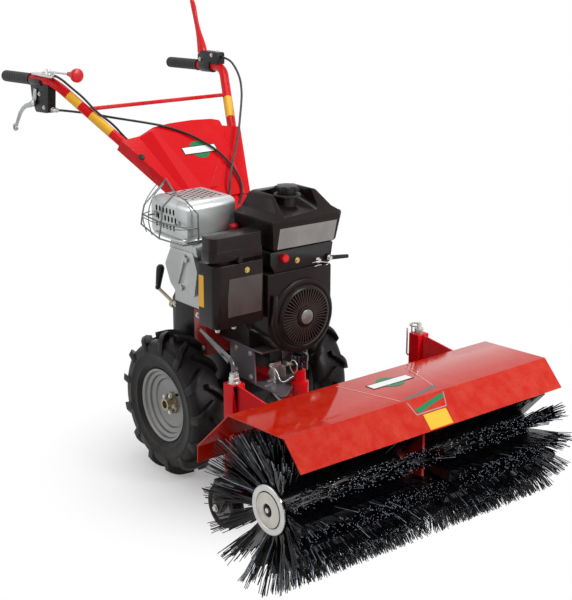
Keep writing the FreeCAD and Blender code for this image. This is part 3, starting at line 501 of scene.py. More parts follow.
def join_all(name, objects):
    """Joins finished meshes into one; each keeps its own material."""
    work = bmesh.new()
    materials = []
    for obj in objects:
        first = len(work.faces)
        offsets = []
        for m in obj.data.materials:
            if m not in materials:
                materials.append(m)
            offsets.append(materials.index(m))
        work.from_mesh(obj.data)
        work.faces.ensure_lookup_table()
        for face in work.faces[first:]:
            face.material_index = offsets[min(face.material_index, len(offsets) - 1)]
    mesh = bpy.data.meshes.new(name)
    work.to_mesh(mesh)
    work.free()
    for obj in objects:
        old = obj.data
        bpy.data.objects.remove(obj)
        if old.users == 0:
            bpy.data.meshes.remove(old)
    joined = new_object(name, mesh)
    for m in materials:
        mesh.materials.append(m)
    return joined


def wire_run(name, points, radius, material):
    """A round bar or cable along a smooth NURBS line, as a mesh; points and radius in mm."""
    curve = bpy.data.curves.new(name, "CURVE")
    curve.dimensions = "3D"
    spline = curve.splines.new("NURBS")
    spline.points.add(len(points) - 1)
    for point, place in zip(spline.points, points):
        point.co = (*at(*place), 1)
    spline.order_u = 3
    spline.use_endpoint_u = True
    curve.resolution_u = 8
    curve.bevel_depth = mm(radius)
    curve.bevel_resolution = 3
    curve.use_fill_caps = True
    obj = bpy.data.objects.new(name, curve)
    collection.objects.link(obj)
    graph = bpy.context.evaluated_depsgraph_get()
    mesh = bpy.data.meshes.new_from_object(obj.evaluated_get(graph), depsgraph=graph)
    bpy.data.objects.remove(obj)
    work = bmesh.new()
    work.from_mesh(mesh)
    bmesh.ops.remove_doubles(work, verts=work.verts, dist=1e-6)
    bmesh.ops.recalc_face_normals(work, faces=work.faces)
    work.to_mesh(mesh)
    work.free()
    smooth_by_angle(mesh, 50)
    return new_object(name, mesh, material)


def polished(node, material, bevel=1.2, angle=35):
    """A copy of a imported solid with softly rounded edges, which stands for it."""
    mesh = nodes[node].data.copy()
    work = bmesh.new()
    work.from_mesh(mesh)
    bmesh.ops.remove_doubles(work, verts=work.verts, dist=2e-6)
    bmesh.ops.dissolve_limit(work, angle_limit=math.radians(1.0), verts=work.verts, edges=work.edges)
    work.to_mesh(mesh)
    work.free()
    obj = new_object(node + "_skin", mesh, material)
    if bevel > 0:
        soften(obj, bevel, angle=angle)
    smooth_by_angle(obj.data, angle)
    return place_piece(obj, nodes[node]["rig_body"], [node])


def dress(node, material):
    """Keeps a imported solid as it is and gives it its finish."""
    mesh = nodes[node].data
    mesh.materials.clear()
    mesh.materials.append(material)
    mesh.polygons.foreach_set("material_index", [0] * len(mesh.polygons))


# %% [markdown]
# Four Geometry Nodes trees make everything that repeats.  The first copies a mesh round an
# axis (tread bars, starter ribs, brush rows), the second copies it over a grid with
# staggered rows (the slots of the covers), the third sets screws on points that know which
# way they face.  The fourth, for the bristles, stands with the brush.

# %% Tree one: copies round an axis
def grow(obj, tree, values):
    """Runs a Geometry Nodes tree on an object and keeps the result as a plain mesh."""
    modifier = obj.modifiers.new("repeat", "NODES")
    modifier.node_group = tree
    for item in tree.interface.items_tree:
        if item.item_type == "SOCKET" and item.in_out == "INPUT" and item.name in values:
            modifier[item.identifier] = values[item.name]
    return bake_modifiers(obj)


def copies_of(tree, points, instance, **turned):
    """The instance on every point, as real geometry."""
    placed = put(tree, "GeometryNodeInstanceOnPoints", {"Points": points, "Instance": instance, **turned})
    return put(tree, "GeometryNodeRealizeInstances", {0: placed})


def paint_and_end(tree, geometry, inside, out):
    """Gives everything one finish and links it to the group's output."""
    painted = put(tree, "GeometryNodeSetMaterial", {"Geometry": geometry, "Material": inside["Finish"]})
    tree.links.new(painted.outputs[0], out.inputs[0])


ring, ring_in, ring_out = new_group(
    "copies_round_an_axis", "GeometryNodeTree",
    [("Geometry", "Geometry", None), ("Count", "Int", 12), ("Centre", "Vector", None),
     ("Axis", "Vector", None), ("Phase", "Float", 0.0), ("Finish", "Material", None)],
    [("Geometry", "Geometry")])
ring_points = put(ring, "GeometryNodePoints", {"Count": ring_in["Count"], "Position": ring_in["Centre"]})
ring_index = put(ring, "GeometryNodeInputIndex")
full_turn = maths(ring, "MULTIPLY", maths(ring, "DIVIDE", ring_index, ring_in["Count"]), 2 * math.pi)
rotation = put(ring, "FunctionNodeAxisAngleToRotation",
               {"Axis": ring_in["Axis"], "Angle": maths(ring, "ADD", full_turn, ring_in["Phase"])})
round_axis = copies_of(ring, ring_points, ring_in["Geometry"], Rotation=rotation)
paint_and_end(ring, round_axis, ring_in, ring_out)

# %% Tree two: copies over a staggered grid
grid, grid_in, grid_out = new_group(
    "copies_over_a_grid", "GeometryNodeTree",
    [("Geometry", "Geometry", None), ("Columns", "Int", 4), ("Rows", "Int", 3), ("Step", "Vector", None),
     ("Row step", "Vector", None), ("Stagger", "Float", 0.0), ("Finish", "Material", None)],
    [("Geometry", "Geometry")])
total = maths(grid, "MULTIPLY", grid_in["Columns"], grid_in["Rows"])
grid_index = put(grid, "GeometryNodeInputIndex")
grid_row = maths(grid, "FLOOR", maths(grid, "DIVIDE", grid_index, grid_in["Columns"]))
column = maths(grid, "SUBTRACT", grid_index, maths(grid, "MULTIPLY", grid_row, grid_in["Columns"]))
odd = maths(grid, "MODULO", grid_row, 2.0)
column = maths(grid, "ADD", column, maths(grid, "MULTIPLY", odd, grid_in["Stagger"]))
step_on = put(grid, "ShaderNodeVectorMath", {0: grid_in["Step"], "Scale": column}, operation="SCALE")
step_up = put(grid, "ShaderNodeVectorMath", {0: grid_in["Row step"], "Scale": grid_row}, operation="SCALE")
grid_place = put(grid, "ShaderNodeVectorMath", {0: step_on, 1: step_up},
                 operation="ADD")
grid_points = put(grid, "GeometryNodePoints", {"Count": total, "Position": grid_place})
paint_and_end(grid, copies_of(grid, grid_points, grid_in["Geometry"]), grid_in, grid_out)

# %% Tree three: hexagon screws with washers
screws, screws_in, screws_out = new_group(
    "screws_on_points", "GeometryNodeTree",
    [("Geometry", "Geometry", None), ("Head", "Float", 0.006), ("Height", "Float", 0.004),
     ("Washer", "Float", 0.009), ("Finish", "Material", None)],
    [("Geometry", "Geometry")])
head = put(screws, "GeometryNodeMeshCylinder", {"Vertices": 6, "Radius": screws_in["Head"],
                                                "Depth": screws_in["Height"]})
half_head = maths(screws, "MULTIPLY", screws_in["Height"], 0.5)
above_washer = put(screws, "ShaderNodeCombineXYZ", {"Z": maths(screws, "ADD", half_head, 0.0010)})
head_up = put(screws, "GeometryNodeTransform", {"Geometry": head,
                                                "Translation": above_washer})
washer = put(screws, "GeometryNodeMeshCylinder", {"Vertices": 20, "Radius": screws_in["Washer"],
                                                  "Depth": 0.0016})
washer_up = put(screws, "GeometryNodeTransform", {"Geometry": washer,
                                                  "Translation": (0, 0, 0.0006)})
screw = put(screws, "GeometryNodeJoinGeometry")
screws.links.new(head_up.outputs[0], screw.inputs[0])
screws.links.new(washer_up.outputs[0], screw.inputs[0])
facing = put(screws, "GeometryNodeInputNamedAttribute", {"Name": "facing"}, data_type="FLOAT_VECTOR")
to_normal = put(screws, "FunctionNodeAlignRotationToVector", {"Vector": facing}, axis="Z")
fastened = copies_of(screws, screws_in["Geometry"], screw, Rotation=to_normal)
paint_and_end(screws, fastened, screws_in, screws_out)


def set_screws(name, places, body, head=5.5, height=4.0, washer=8.5, material=zinc):
    """Screws at places given as ((x, y, z), (direction they face)); their sizes are in mm."""
    mesh = bpy.data.meshes.new(name)
    mesh.from_pydata([at(*spot) for spot, facing in places], [], [])
    layer = mesh.attributes.new("facing", "FLOAT_VECTOR", "POINT")
    for k, (spot, facing) in enumerate(places):
        layer.data[k].vector = facing
    obj = new_object(name, mesh)
    grow(obj, screws, {"Head": mm(head), "Height": mm(height), "Washer": mm(washer), "Finish": material})
    return place_piece(obj, body)


def set_grid(obj, columns, rows, step, row_step, stagger=0.5):
    """Repeats a hole over rows and columns; the steps are in mm."""
    # The holes take the flat black: painted shade.
    return grow(obj, grid, {"Columns": columns, "Rows": rows, "Step": Vector(step) / 1000,
                            "Row step": Vector(row_step) / 1000, "Stagger": stagger, "Finish": painted_shade_black})


def turned(name, outline, centre, axis, material, steps, body, slot, stands_for=()):
    """A turned piece that needs nothing more than a body to ride on."""
    return place_piece(lathe(name, outline, centre, axis, material, steps), body, stands_for)

# %% [markdown]
# The drive tyres are small tractor tyres: a round carcass and two rows of bars that meet
# in an arrow.  The carcass is turned, one pair of bars is modelled, and the ring tree
# repeats the pair thirteen times.  Packed tyres have flat facets; these are round.

# %% Drive tyres
WHEEL_Y, WHEEL_R, TYRE_HALF = 224, 210, 53
LUG_PAIRS = 13


def lug_bar(side):
    """Rings of one curved bar from mid-tread over the shoulder, about the wheel's centre."""
    lines = []
    for k in range(7):
        t = k / 6
        y = side * (-4 + t * (TYRE_HALF + 4))
        x = -8 + 46 * t ** 1.25
        top = 209.5 if t < 0.5 else 209.5 - 15 * ((t - 0.5) / 0.5) ** 2.2
        width = 8.0 + 4.0 * t
        lines.append((x, y, top, width))
    lines.append((41, side * (TYRE_HALF + 0.8), 178, 12))
    rings = []
    for x, y, top, width in lines:
        low = 176 if top > 180 else 160
        section = ((-width - 2, low), (-width + 1, top), (width - 1, top), (width + 2, low))
        turns = [((x + dx) / 200, r) for dx, r in section]
        rings.append([Vector((r * math.sin(a), y, r * math.cos(a))) / 1000 for a, r in turns])
    return rings


def tyre_lugs(name, centre):
    work = bmesh.new()
    for side, shift in ((1, 0.25), (-1, -0.25)):
        spin = Matrix.Rotation(2 * math.pi * shift / LUG_PAIRS, 3, "Y")
        skin(work, [[spin @ point for point in points] for points in lug_bar(side)])
    obj = soften(from_bmesh(name, work, tyre_rubber, 40), 2.0)
    return grow(obj, ring, {"Count": LUG_PAIRS, "Centre": centre, "Axis": LEFT, "Phase": 0.0,
                            "Finish": tyre_rubber})


CARCASS = [(101.5, -39), (109, -39.5), (113, -44), (121, -49), (123, -50.5), (126, -50.5), (128, -50),
           (138, -52), (150, -53), (152, -53.8), (155, -53.8), (157, -53), (168, -52.5), (176, -51),
           (183, -46), (187.5, -36), (189.5, -18), (190, 0)]
for side, sign in SIDES:
    centre = at(0, sign * WHEEL_Y, WHEEL_R)
    outline = CARCASS + [(r, -s) for r, s in CARCASS[-2::-1]]
    carcass = lathe("tyre_carcass_" + side, outline, centre, LEFT, tyre_rubber, 128)
    lugs = tyre_lugs("tyre_lugs_" + side, centre)
    whole = join_all("tyre_tread_" + side, [carcass, lugs])
    smooth_by_angle(whole.data, 42)
    place_piece(whole, "wheel_" + side, ["tyre_" + side])
    print("tyre", side, len(whole.data.polygons), "faces")

# %% [markdown]
# The rims are pressed from sheet and painted silver.  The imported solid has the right
# profile; it gets softened edges, and a hub ring with bolts and a valve in front of it.

# %% Rims and hubs
BOLT_R = 25.5
for side, sign in SIDES:
    polished("rim_" + side, rim_silver, bevel=1.0)
    dress("wheel_hub_" + side, yellow_zinc)
    turns = [math.radians(72 * k + 20) for k in range(5)]
    bolts = [((BOLT_R * math.sin(a), sign * (WHEEL_Y + 19), WHEEL_R + BOLT_R * math.cos(a)), (0, sign, 0))
             for a in turns]
    set_screws("hub_bolts_" + side, bolts, "wheel_" + side, head=6.2, height=4.5, washer=7.2)
    turned("rim_valve_" + side, [(0, 0), (4.2, 0), (4.2, 6), (3, 8), (3, 20), (4, 21), (4, 30), (0, 31)],
           at(64, sign * (WHEEL_Y + 10), 258), (0, sign, 0), matte_black, 20, "wheel_" + side, "matte_black")

# %% [markdown]
# The gearbox, its cover and the frame are painted steel and castings; the frame takes a darker
# copy of the red paint as painted shade.  Their shapes are simple, so the imported solids
# serve, with rounded edges that catch the light.

# %% Gearbox, frame and column
polished("axle_housing", black_paint, bevel=2.0)
polished("gearbox_cover", black_paint, bevel=2.5)
# The frame's darker red is painted shade.
polished("chassis_frame", red_painted_shade, bevel=1.5)
polished("handlebar_column", red_paint, bevel=1.5)
set_screws("cover_screws", [((-98, -150, 470), RIGHT), ((-98, -150, 372), RIGHT), ((-14, -150, 505), RIGHT),
                            ((20, -150, 464), RIGHT), ((46, -150, 372), RIGHT), ((20, 150, 464), LEFT),
                            ((-98, 150, 470), LEFT), ((-98, 150, 372), LEFT)], "tractor")

# %% [markdown]
# The handlebar is two bent tubes under a folded sheet.  The tubes shine, so their packed
# meshes are merged and shaded smooth; the sheet keeps its crisp folds.

# %% Handlebar tubes, cross bar and sheet
for side in ("left", "right"):
    polished("handlebar_tube_" + side, red_paint, bevel=0, angle=40)
polished("handlebar_crossbar", red_paint, bevel=0)
polished("handlebar_panel", red_paint, bevel=1.6, angle=6)

SHEET_DOWN = Vector((97, 0, -82)).normalized()
SHEET_OUT = Vector((82, 0, 97)).normalized()


def on_sheet(down, y, out):
    """A place on the panel: along its slope, across the machine and out from it."""
    return at(*(Vector((-292, y, 936)) + SHEET_DOWN * down + SHEET_OUT * out))


def ridge_fold(name, foot_a, crest, foot_b):
    """A pressed fold with a crest between two feet, each given by its upper and lower end."""
    ends = [[on_sheet(*line[end]) for line in (foot_a, crest, foot_b)] for end in (0, 1)]
    return loft(name, ends, sheet_red, 5)


fold = ridge_fold("panel_fold", [(20, -152, 19), (238, -109, 19)], [(12.5, -111, 34), (238, -95, 32)],
                  [(12.5, -84, 28.5), (238, -38, 24)])
dent = ridge_fold("panel_dent", [(138, 66, 26), (240, -28, 23)], [(139, 69, 29.5), (240, -14, 29)],
                  [(138, 96, 25), (240, 30, 22)])
foot = slab("panel_foot", [on_sheet(271, -92, 17.5), on_sheet(271, 96, 17.5), on_sheet(324, 72, 17.5),
                           on_sheet(324, -40, 17.5)], 3.0, sheet_red, bevel=0.5, segments=1)
place_piece(join_all("panel_folds", [fold, dent, foot]), "tractor")
turned("panel_plug", [(0, 19), (9.4, 19), (9.4, 24), (7.6, 25.6), (3.4, 25.4), (3, 24.6), (0, 24.4)],
       on_sheet(93, -180, 0), SHEET_OUT, matte_black, 32, "tractor", "matte_black")
polished("clutch_lever", red_plastic, bevel=1.5)

# %% [markdown]
# The grips are ribbed rubber.  A profile with shallow ribs is turned round the grip's own
# line, and its closed end is slightly domed.  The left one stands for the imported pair.

# %% Grips
GRIP_END, GRIP_FRONT = (-788, 306, 1079.8), (-612, 306, 1086.2)
for side, sign in SIDES:
    start = at(GRIP_END[0], sign * GRIP_END[1], GRIP_END[2])
    stop = at(GRIP_FRONT[0], sign * GRIP_FRONT[1], GRIP_FRONT[2])
    outline = [(0, 0), (10, 0), (15, 1.2), (17.3, 4), (17.5, 9)]
    for k in range(14):
        s = 12 + k * 11.2
        outline += [(17.5, s), (16.2, s + 1.2), (16.2, s + 2.6), (17.5, s + 3.8)]
    outline += [(17.5, 169), (18.6, 170), (18.6, 175), (14.7, 176), (14.7, 30)]
    turned("grip_rubber_" + side, outline, start, stop - start, grip_rubber, 48, "tractor", "grip_rubber",
           ["grips"] if side == "left" else ())

# %% [markdown]
# The levers, their brackets and the throttle are small, but a driver's hands are on them all
# day.  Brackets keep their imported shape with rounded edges; the alloy lever is drawn again
# as a flattened, curved bar with an eye at its end, and the throttle gets a red knob.

# %% Controls on the handlebar
polished("lever_perches", matte_black, bevel=1.5)
polished("throttle_control", zinc, bevel=0.5)


def flat_bar(name, path, widths, heights, side, material, steps=12):
    """A bar along a path, its section an ellipse that changes size along the way."""
    rings = []
    for k, centre in enumerate(path):
        before = path[max(k - 1, 0)]
        after = path[min(k + 1, len(path) - 1)]
        run = (after - before).normalized()
        across = Vector(side).normalized()
        up = run.cross(across).normalized()
        turns = [2 * math.pi * j / steps for j in range(steps)]
        rings.append([centre + across * mm(widths[k] * math.cos(a)) + up * mm(heights[k] * math.sin(a))
                      for a in turns])
    return loft(name, rings, material, 50)


LEVER_LINE = [(-566, -322, 1064), (-570, -323, 1040), (-584, -322, 1018), (-614, -320, 1009),
              (-642, -317, 1003), (-668, -314, 992), (-694, -311, 975), (-716, -308, 953), (-736, -306, 930)]
lever = flat_bar("hand_lever", [at(*spot) for spot in LEVER_LINE], [3, 4, 5, 6, 6, 6, 6, 5.5, 5],
                 [8, 10, 11, 8, 7, 6.5, 6, 5.5, 5], LEFT, alloy)
eye = lathe("lever_eye", [(5.5, -4), (11, -4), (12, 0), (11, 4), (5.5, 4), (4.8, 0)], at(-742, -306, 924),
            LEFT, alloy, 32)
pivot = lathe("lever_pivot", [(0, 0), (8, 0), (8.5, 1), (8.5, 5), (5, 7), (0, 7.4)], at(-572, -325, 1022),
              RIGHT, zinc, 24)
place_piece(join_all("drive_lever_bar", [lever, eye, pivot]), "tractor", ["drive_lever"])
set_screws("lever_screws", [((-545, -319, 1050), RIGHT), ((-520, -319, 1012), RIGHT),
                            ((-520, 292, 1126), RIGHT), ((-505, 306, 1136), UP), ((-586, 292, 1108), RIGHT),
                            ((-540, -306, 1111), UP), ((-486, -306, 1111), UP)], "tractor", head=4.5,
           height=3.5, washer=6.5)
turned("cable_adjuster", [(0, 0), (7, 0), (7, 10), (5, 11), (5, 20), (7.5, 21), (7.5, 28), (4, 29), (4, 36),
                          (0, 36)], at(-506, -306, 1007), (1, 0.25, 0), zinc, 18, "tractor", "zinc")
turned("throttle_knob", [(0, -50), (6.2, -50), (8.2, -38), (9.2, -12), (13, -9), (19, -7.5), (20.4, -3),
                         (20.2, 3), (17, 6.5), (10, 8.2), (0, 8.4)], at(-366, -290, 1119), FORWARD,
       red_plastic, 40, "tractor", "red_plastic")

# %% [markdown]
# The three control cables are held all the way from lever to machine.  Each follows the same
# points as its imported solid, now on a smooth NURBS line, in a slightly glossy black sheath.

# %% Control cables
CABLES = {
    "clutch": [(-488, 306, 1122), (-445, 306, 1120), (-408, 304, 1098), (-373, 298, 1065), (-338, 278, 1026),
               (-304, 250, 994), (-270, 221, 971), (-236, 192, 944), (-204, 162, 916), (-172, 131, 889),
               (-139, 97, 862), (-108, 66, 836), (-82, 42, 812), (-62, 26, 784), (-56, 20, 746)],
    "drive": [(-494.5, -305, 1007), (-470, -292, 1007), (-446, -266, 1004), (-426, -234, 999),
              (-392, -211, 995), (-348, -187, 990), (-305, -157, 985), (-284, -106, 974), (-268, -54, 961),
              (-253, -16, 946), (-232, 14, 931), (-206, 47, 908), (-175, 73, 883), (-143, 86, 855),
              (-110, 91, 827),
              (-81, 86, 798), (-54, 68, 772), (-44, 42, 742)],
    "throttle": [(-470, -306, 1110), (-446, -300, 1104), (-422, -280, 1078), (-390, -258, 1050),
                 (-352, -241, 1012), (-322, -204, 977), (-294, -182, 938), (-262, -158, 905),
                 (-226, -128, 874), (-190, -98, 846), (-150, -66, 822), (-116, -46, 796), (-88, -35, 772),
                 (-60, -26, 756), (-20, -14, 750), (20, -6, 730), (62, -3, 697), (110, -2, 675),
                 (158, -2, 669),
                 (205.5, -2, 668)]}
CABLE_R = 3.5
for cable_name, points in CABLES.items():
    cable = wire_run(cable_name + "_cable_sheath", points, CABLE_R, cable_black)
    place_piece(cable, "tractor", [cable_name + "_cable"])
    print(cable_name, "cable:", len(points), "points")

# %% [markdown]
# The tank and the covers of the engine are moulded in black plastic with a satin gloss.
# Rounded edges matter most here, because a black piece shows only its highlights.  The
# exhaust, its guard and the gear lever are finished in the same way, in bare metal.

# %% Tank, covers, exhaust and gear lever
polished("fuel_tank", black_plastic, bevel=1.6, angle=28)
polished("blower_housing", black_plastic, bevel=3.0)
polished("starter_handle", matte_black, bevel=1.2)
polished("cylinder_shroud", black_plastic, bevel=2.5)
polished("air_cleaner", black_plastic, bevel=2.0)
polished("control_panel", matte_black, bevel=1.2)
polished("engine_block", engine_black, bevel=0.8)
polished("cylinder_head", alloy, bevel=1.8)
polished("muffler", muffler_steel, bevel=2.0, angle=40)
exhaust_flange = slab("exhaust_flange", [at(34, -250, 684), at(42, -250, 711), at(160, -250, 711),
                                          at(170, -250, 682)],
                      52.0, alloy, bevel=2.0)
place_piece(exhaust_flange, "tractor")
polished("muffler_guard", guard_zinc, bevel=0, angle=60)
polished("gear_lever", yellow_zinc, bevel=0.6)
turned("gear_handle", [(0, -2), (6.5, -2), (8, 0), (8.2, 12), (9.6, 30), (11.4, 50), (12.2, 64), (11.4, 71),
                       (8, 76.5), (0, 78.5)], at(-165, -165, 505), (17, 0, 64), matte_black, 32, "tractor",
       "matte_black")

# %% [markdown]
# The exhaust stands behind a guard of bent wires.  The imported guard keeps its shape, and
# three thin wires are added to it: two that rise and one that runs round.

# %% Wires of the exhaust guard
GUARD_WIRES = [
    [(-24, -286, 722), (-28, -292, 745), (-29, -294, 770), (-28, -290, 795), (-32, -272, 822),
     (-42, -238, 845)],
    [(6, -287, 719), (3, -294, 745), (2, -296, 772), (3, -291, 802), (-2, -270, 832), (-14, -232, 851)],
    [(-56, -252, 770), (-54, -276, 767), (-40, -292, 765), (0, -298, 763), (60, -297, 760), (120, -291, 757),
     (146, -276, 757), (155, -246, 760)]]
guard_wires = [wire_run("guard_wire_%d" % k, points, 1.5, guard_zinc)
               for k, points in enumerate(GUARD_WIRES)]
place_piece(join_all("guard_wires", guard_wires), "tractor")


# %% [markdown]
# The exhaust's heat shield is perforated: rows of short slots on its top and its side.  One
# slot is modelled as a shallow plate, black as the shade inside it, and the grid tree sets
# the staggered rows.

# %% Perforations of the exhaust
def slot_plate(name, centre, along, across, length, width):
    """A long hole with round ends, as a thin plate that lies on the sheet, black as painted shade."""
    along = Vector(along).normalized()
    across = Vector(across).normalized()
    corners = []
    half = (length - width) / 2
    for end in (1, -1):
        for k in range(5):
            turn = math.pi * (k / 4 - 0.5)
            corners.append(centre + along * mm(end * (half + math.cos(turn) * width / 2))
                           + across * mm(end * math.sin(turn) * width / 2))
    return slab(name, corners, 0.25, painted_shade_black, bevel=0)


top_holes = slot_plate("top_holes", at(-9, -226, 825), FORWARD, LEFT, 13, 7)
side_holes = slot_plate("side_holes", at(-18, -255.25, 788), UP, FORWARD, 17, 8)
place_piece(set_grid(top_holes, 6, 8, (19, 0, 0), (0, 15, 0)), "tractor")
place_piece(set_grid(side_holes, 6, 3, (17, 0, 0), (0, 0, -22)), "tractor")

# %% Strap round the exhaust
strap_line = [(-30, -256, 716), (60, -257, 712), (120, -254, 716), (134, -226, 720), (134, -150, 720)]
strap = wire_run("exhaust_strap", strap_line, 3.0, zinc)
place_piece(strap, "tractor")
set_screws("exhaust_screws", [((-22, -257, 769), RIGHT), ((92, -257, 761), RIGHT), ((120, -256, 719), RIGHT)],
           "tractor", head=5, height=4, washer=7)

# %% [markdown]
# Signs and plates are left blank: grey and yellow fields in the places where such a machine
# carries them.  Each is a thin plate with rounded corners, a hair above its surface.

# %% Blank plates on the engine
def plate(name, spot, corners, material, body, thickness=0.5):
    """A thin plate; spot turns each of its corners into a place, and thickness is in mm."""
    corners = [spot(*corner) for corner in corners]
    return place_piece(slab(name, corners, thickness, material, bevel=0.15, segments=1), body)


def tank_front(y, z, lift=0.3):
    """A place on the tank's front, which leans back towards its foot."""
    return at(308 + 4 * (z - 698) / 84 + lift, y, z)


plate("tank_plate", tank_front, [(-79, 762), (-87, 706), (110, 704), (120, 760)], plate_silver, "tractor",
      0.9)
plate("shroud_plate", at, [(310.2, -246, 652), (310.2, -252, 600), (310.2, -252, 548), (310.2, -142, 548),
      (310.2, -138, 651)], label_grey, "tractor", 0.9)
plate("shroud_side_sign", at, [(231, -288.2, 656), (228, -288.2, 568), (281, -288.2, 572),
      (283, -288.2, 660)], label_yellow, "tractor")
# The shroud's vent slots are flat black plates: painted shade.
vents = slot_plate("shroud_vents", at(310.1, -276, 528), (0, 0.25, 1), LEFT, 12, 7)
place_piece(set_grid(vents, 11, 1, (0, 12.4, 0), (0, 0, -10), 0.0), "tractor")
set_screws("engine_screws", [((310.5, -189, 669), FORWARD), ((302, -13, 664), FORWARD)], "tractor", height=4,
           washer=8, material=brass)
set_screws("engine_bolts", [((300, -279, 519), DOWN), ((300, -226, 519), DOWN), ((314, 91, 657), FORWARD),
                            ((303, 60, 652), FORWARD)], "tractor", head=6, height=7, washer=8)
links = wire_run("governor_links", [(304, 40, 648), (312, 46, 652), (314, 70, 648), (310, 96, 640),
                                    (306, 88, 634), (306, 60, 640), (308, 44, 638)], 1.6, zinc)
place_piece(links, "tractor")
turned("choke_knob", [(0, 0), (9, 0), (11.6, 2), (11.6, 15), (9, 18), (0, 19)], at(302, -64, 680), FORWARD,
       red_plastic, 24, "tractor", "red_plastic")
turned("red_cap", [(0, 0), (11, 0), (12, 2), (12, 16), (9, 20), (0, 21)], at(150, -112, 732), (0.2, -0.2, 1),
       red_plastic, 24, "tractor", "red_plastic")

# %% Filler cap
low_cap, high_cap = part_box("fuel_cap")
cap_middle = (Vector(low_cap) + Vector(high_cap)) / 2
cap_base = Vector((cap_middle.x, cap_middle.y, low_cap[2]))
cap_height = (high_cap[2] - low_cap[2]) * 1000
collar = lathe("cap_collar", [(0, -1), (39, -1), (39, 3), (36, 6), (30, 7), (0, 7)], cap_base, UP,
               matte_black, 64)
cap_body = lathe("cap_body", [(0, 5), (24, 5), (24, 12), (31, 14), (31, cap_height - 6), (28, cap_height - 2),
                              (20, cap_height - 1), (0, cap_height)], cap_base, UP, matte_black, 64)
lobe = lathe("cap_lobe", [(0, 13), (6.5, 13), (7, 15), (7, cap_height - 6), (5, cap_height - 3),
                          (0, cap_height - 2)], Vector((mm(28.5), 0, 0)), UP, matte_black, 16)
grow(lobe, ring, {"Count": 8, "Centre": cap_base, "Axis": UP, "Phase": 0.2, "Finish": matte_black})
place_piece(join_all("filler_cap", [collar, cap_body, lobe]), "tractor", ["fuel_cap"])

# %% [markdown]
# The starter cover is a ring of thin ribs between its rim and a bare cap.  One rib is
# modelled, the ring tree makes forty-eight of it, over a back plate in flat black: painted
# shade behind the ribs.

# %% Starter cover
STARTER = at(0, 0, 507)
starter_rim = lathe("starter_rim", [(74, 308), (88.3, 308), (88.3, 316), (85, 321.5), (80, 324.6),
                                    (77, 325.2), (75, 323)], STARTER, FORWARD, black_plastic)
# The back plate is painted shade behind the ribs.
back = lathe("starter_back", [(0, 309), (76, 309), (76, 317), (0, 317)], STARTER, FORWARD, painted_shade_black, 64)
starter_cap = lathe("starter_cap", [(0, 312), (30, 312), (30.5, 326), (29, 329), (26, 330.2), (0, 331.6)],
                    STARTER, FORWARD, black_plastic, 64)
starter_badge = lathe("starter_badge", [(0, 331), (20, 330), (20.3, 331), (19, 331.8), (0, 332.6)], STARTER,
                      FORWARD, plate_silver, 64)
rib_section = [(-1.3, 315), (1.3, 315), (1.1, 325.4), (-1.1, 325.4)]
ribs = loft("starter_ribs", [[Vector((x, y, r)) / 1000 for y, x in rib_section] for r in (29, 77)], rib_brown)
grow(ribs, ring, {"Count": 48, "Centre": STARTER, "Axis": FORWARD, "Phase": 0.0, "Finish": rib_brown})
turned("blower_scroll", [(87, 300), (108, 300), (107.4, 309), (104, 314), (98, 316.4), (91, 316.8),
                         (87, 315)], STARTER, FORWARD, black_plastic, 96, "tractor", "black_plastic")
place_piece(join_all("starter_cover", [starter_rim, back, starter_cap, starter_badge, ribs]), "tractor",
            ["recoil_starter"])

# %% [markdown]
# In front of the engine hang a grey sheet carrier, the red draw tube and the post on which
# the brush unit swings, with its star knob, a spring pin, a wire loop and a small bracket.

# %% Front carrier and coupling
polished("front_cradle", grey_sheet, bevel=1.2)
polished("front_coupling", red_paint, bevel=1.5)
polished("coupling_knob", knob_black, bevel=2.5)
clip = wire_run("coupling_clip", [(226, -52, 322), (232, -52, 342), (244, -48, 348), (256, -46, 332),
                                  (262, -44, 314), (276, -40, 308), (288, -34, 316), (292, -22, 328),
                                  (292, 16, 330)], 2.6, zinc)
loop = wire_run("coupling_loop", [(300, -18, 336), (318, -26, 350), (322, -26, 372), (308, -30, 384),
                                  (296, -32, 372), (294, -30, 350), (300, -22, 338)], 1.4, zinc)
BRACKET = ((236, 240, -60, -20, 305, 357), (236, 262, -60, -56, 305, 350), (236, 262, -24, -20, 305, 350))
bracket = [slab("coupling_bracket", [at(x0, y0, z0), at(x1, y0, z0), at(x1, y1, z0), at(x0, y1, z0)],
                z1 - z0, zinc, bevel=1.0) for x0, x1, y0, y1, z0, z1 in BRACKET]
place_piece(join_all("coupling_hardware", [clip, loop] + bracket), "tractor")
set_screws("cradle_screws", [((130, -96, 384), RIGHT), ((130, -96, 320), RIGHT), ((196, -96, 384), RIGHT),
                             ((200, -96, 316), RIGHT), ((130, 96, 384), LEFT), ((196, 96, 384), LEFT),
                             ((236, -60, 305), UP)], "tractor")

# %% [markdown]
# The hood is one bent sheet in bright orange-red.  The imported sheet is kept in shape and
# gets a small edge radius.  The drive case, the yoke and the castor housings are painted; the
# drive case and the yoke in a darker copy of the red paint, as painted shade under the hood.

# %% Hood, drive case and yoke
polished("hood", hood_paint, bevel=0.9, angle=20)
# The drive case and the yoke take the darker red: painted shade.
polished("drive_case", red_painted_shade, bevel=1.2)
polished("swing_yoke", red_painted_shade, bevel=1.5)
for side in ("left", "right"):
    polished("caster_housing_" + side, red_paint, bevel=1.2)
polished("swing_rod", dark_steel, bevel=0, angle=50)
polished("housing_nut", zinc, bevel=0.5, angle=50)
turned("rod_nut", [(0, 0.2), (17, 0.2), (17, 3), (13, 3.4), (13.4, 5), (13.4, 14), (12, 15.4), (11.5, 16),
                   (11.5, 26), (9, 28.6), (0, 28.8)], at(436, -326, 421), UP, zinc, 24, "broom", "zinc")

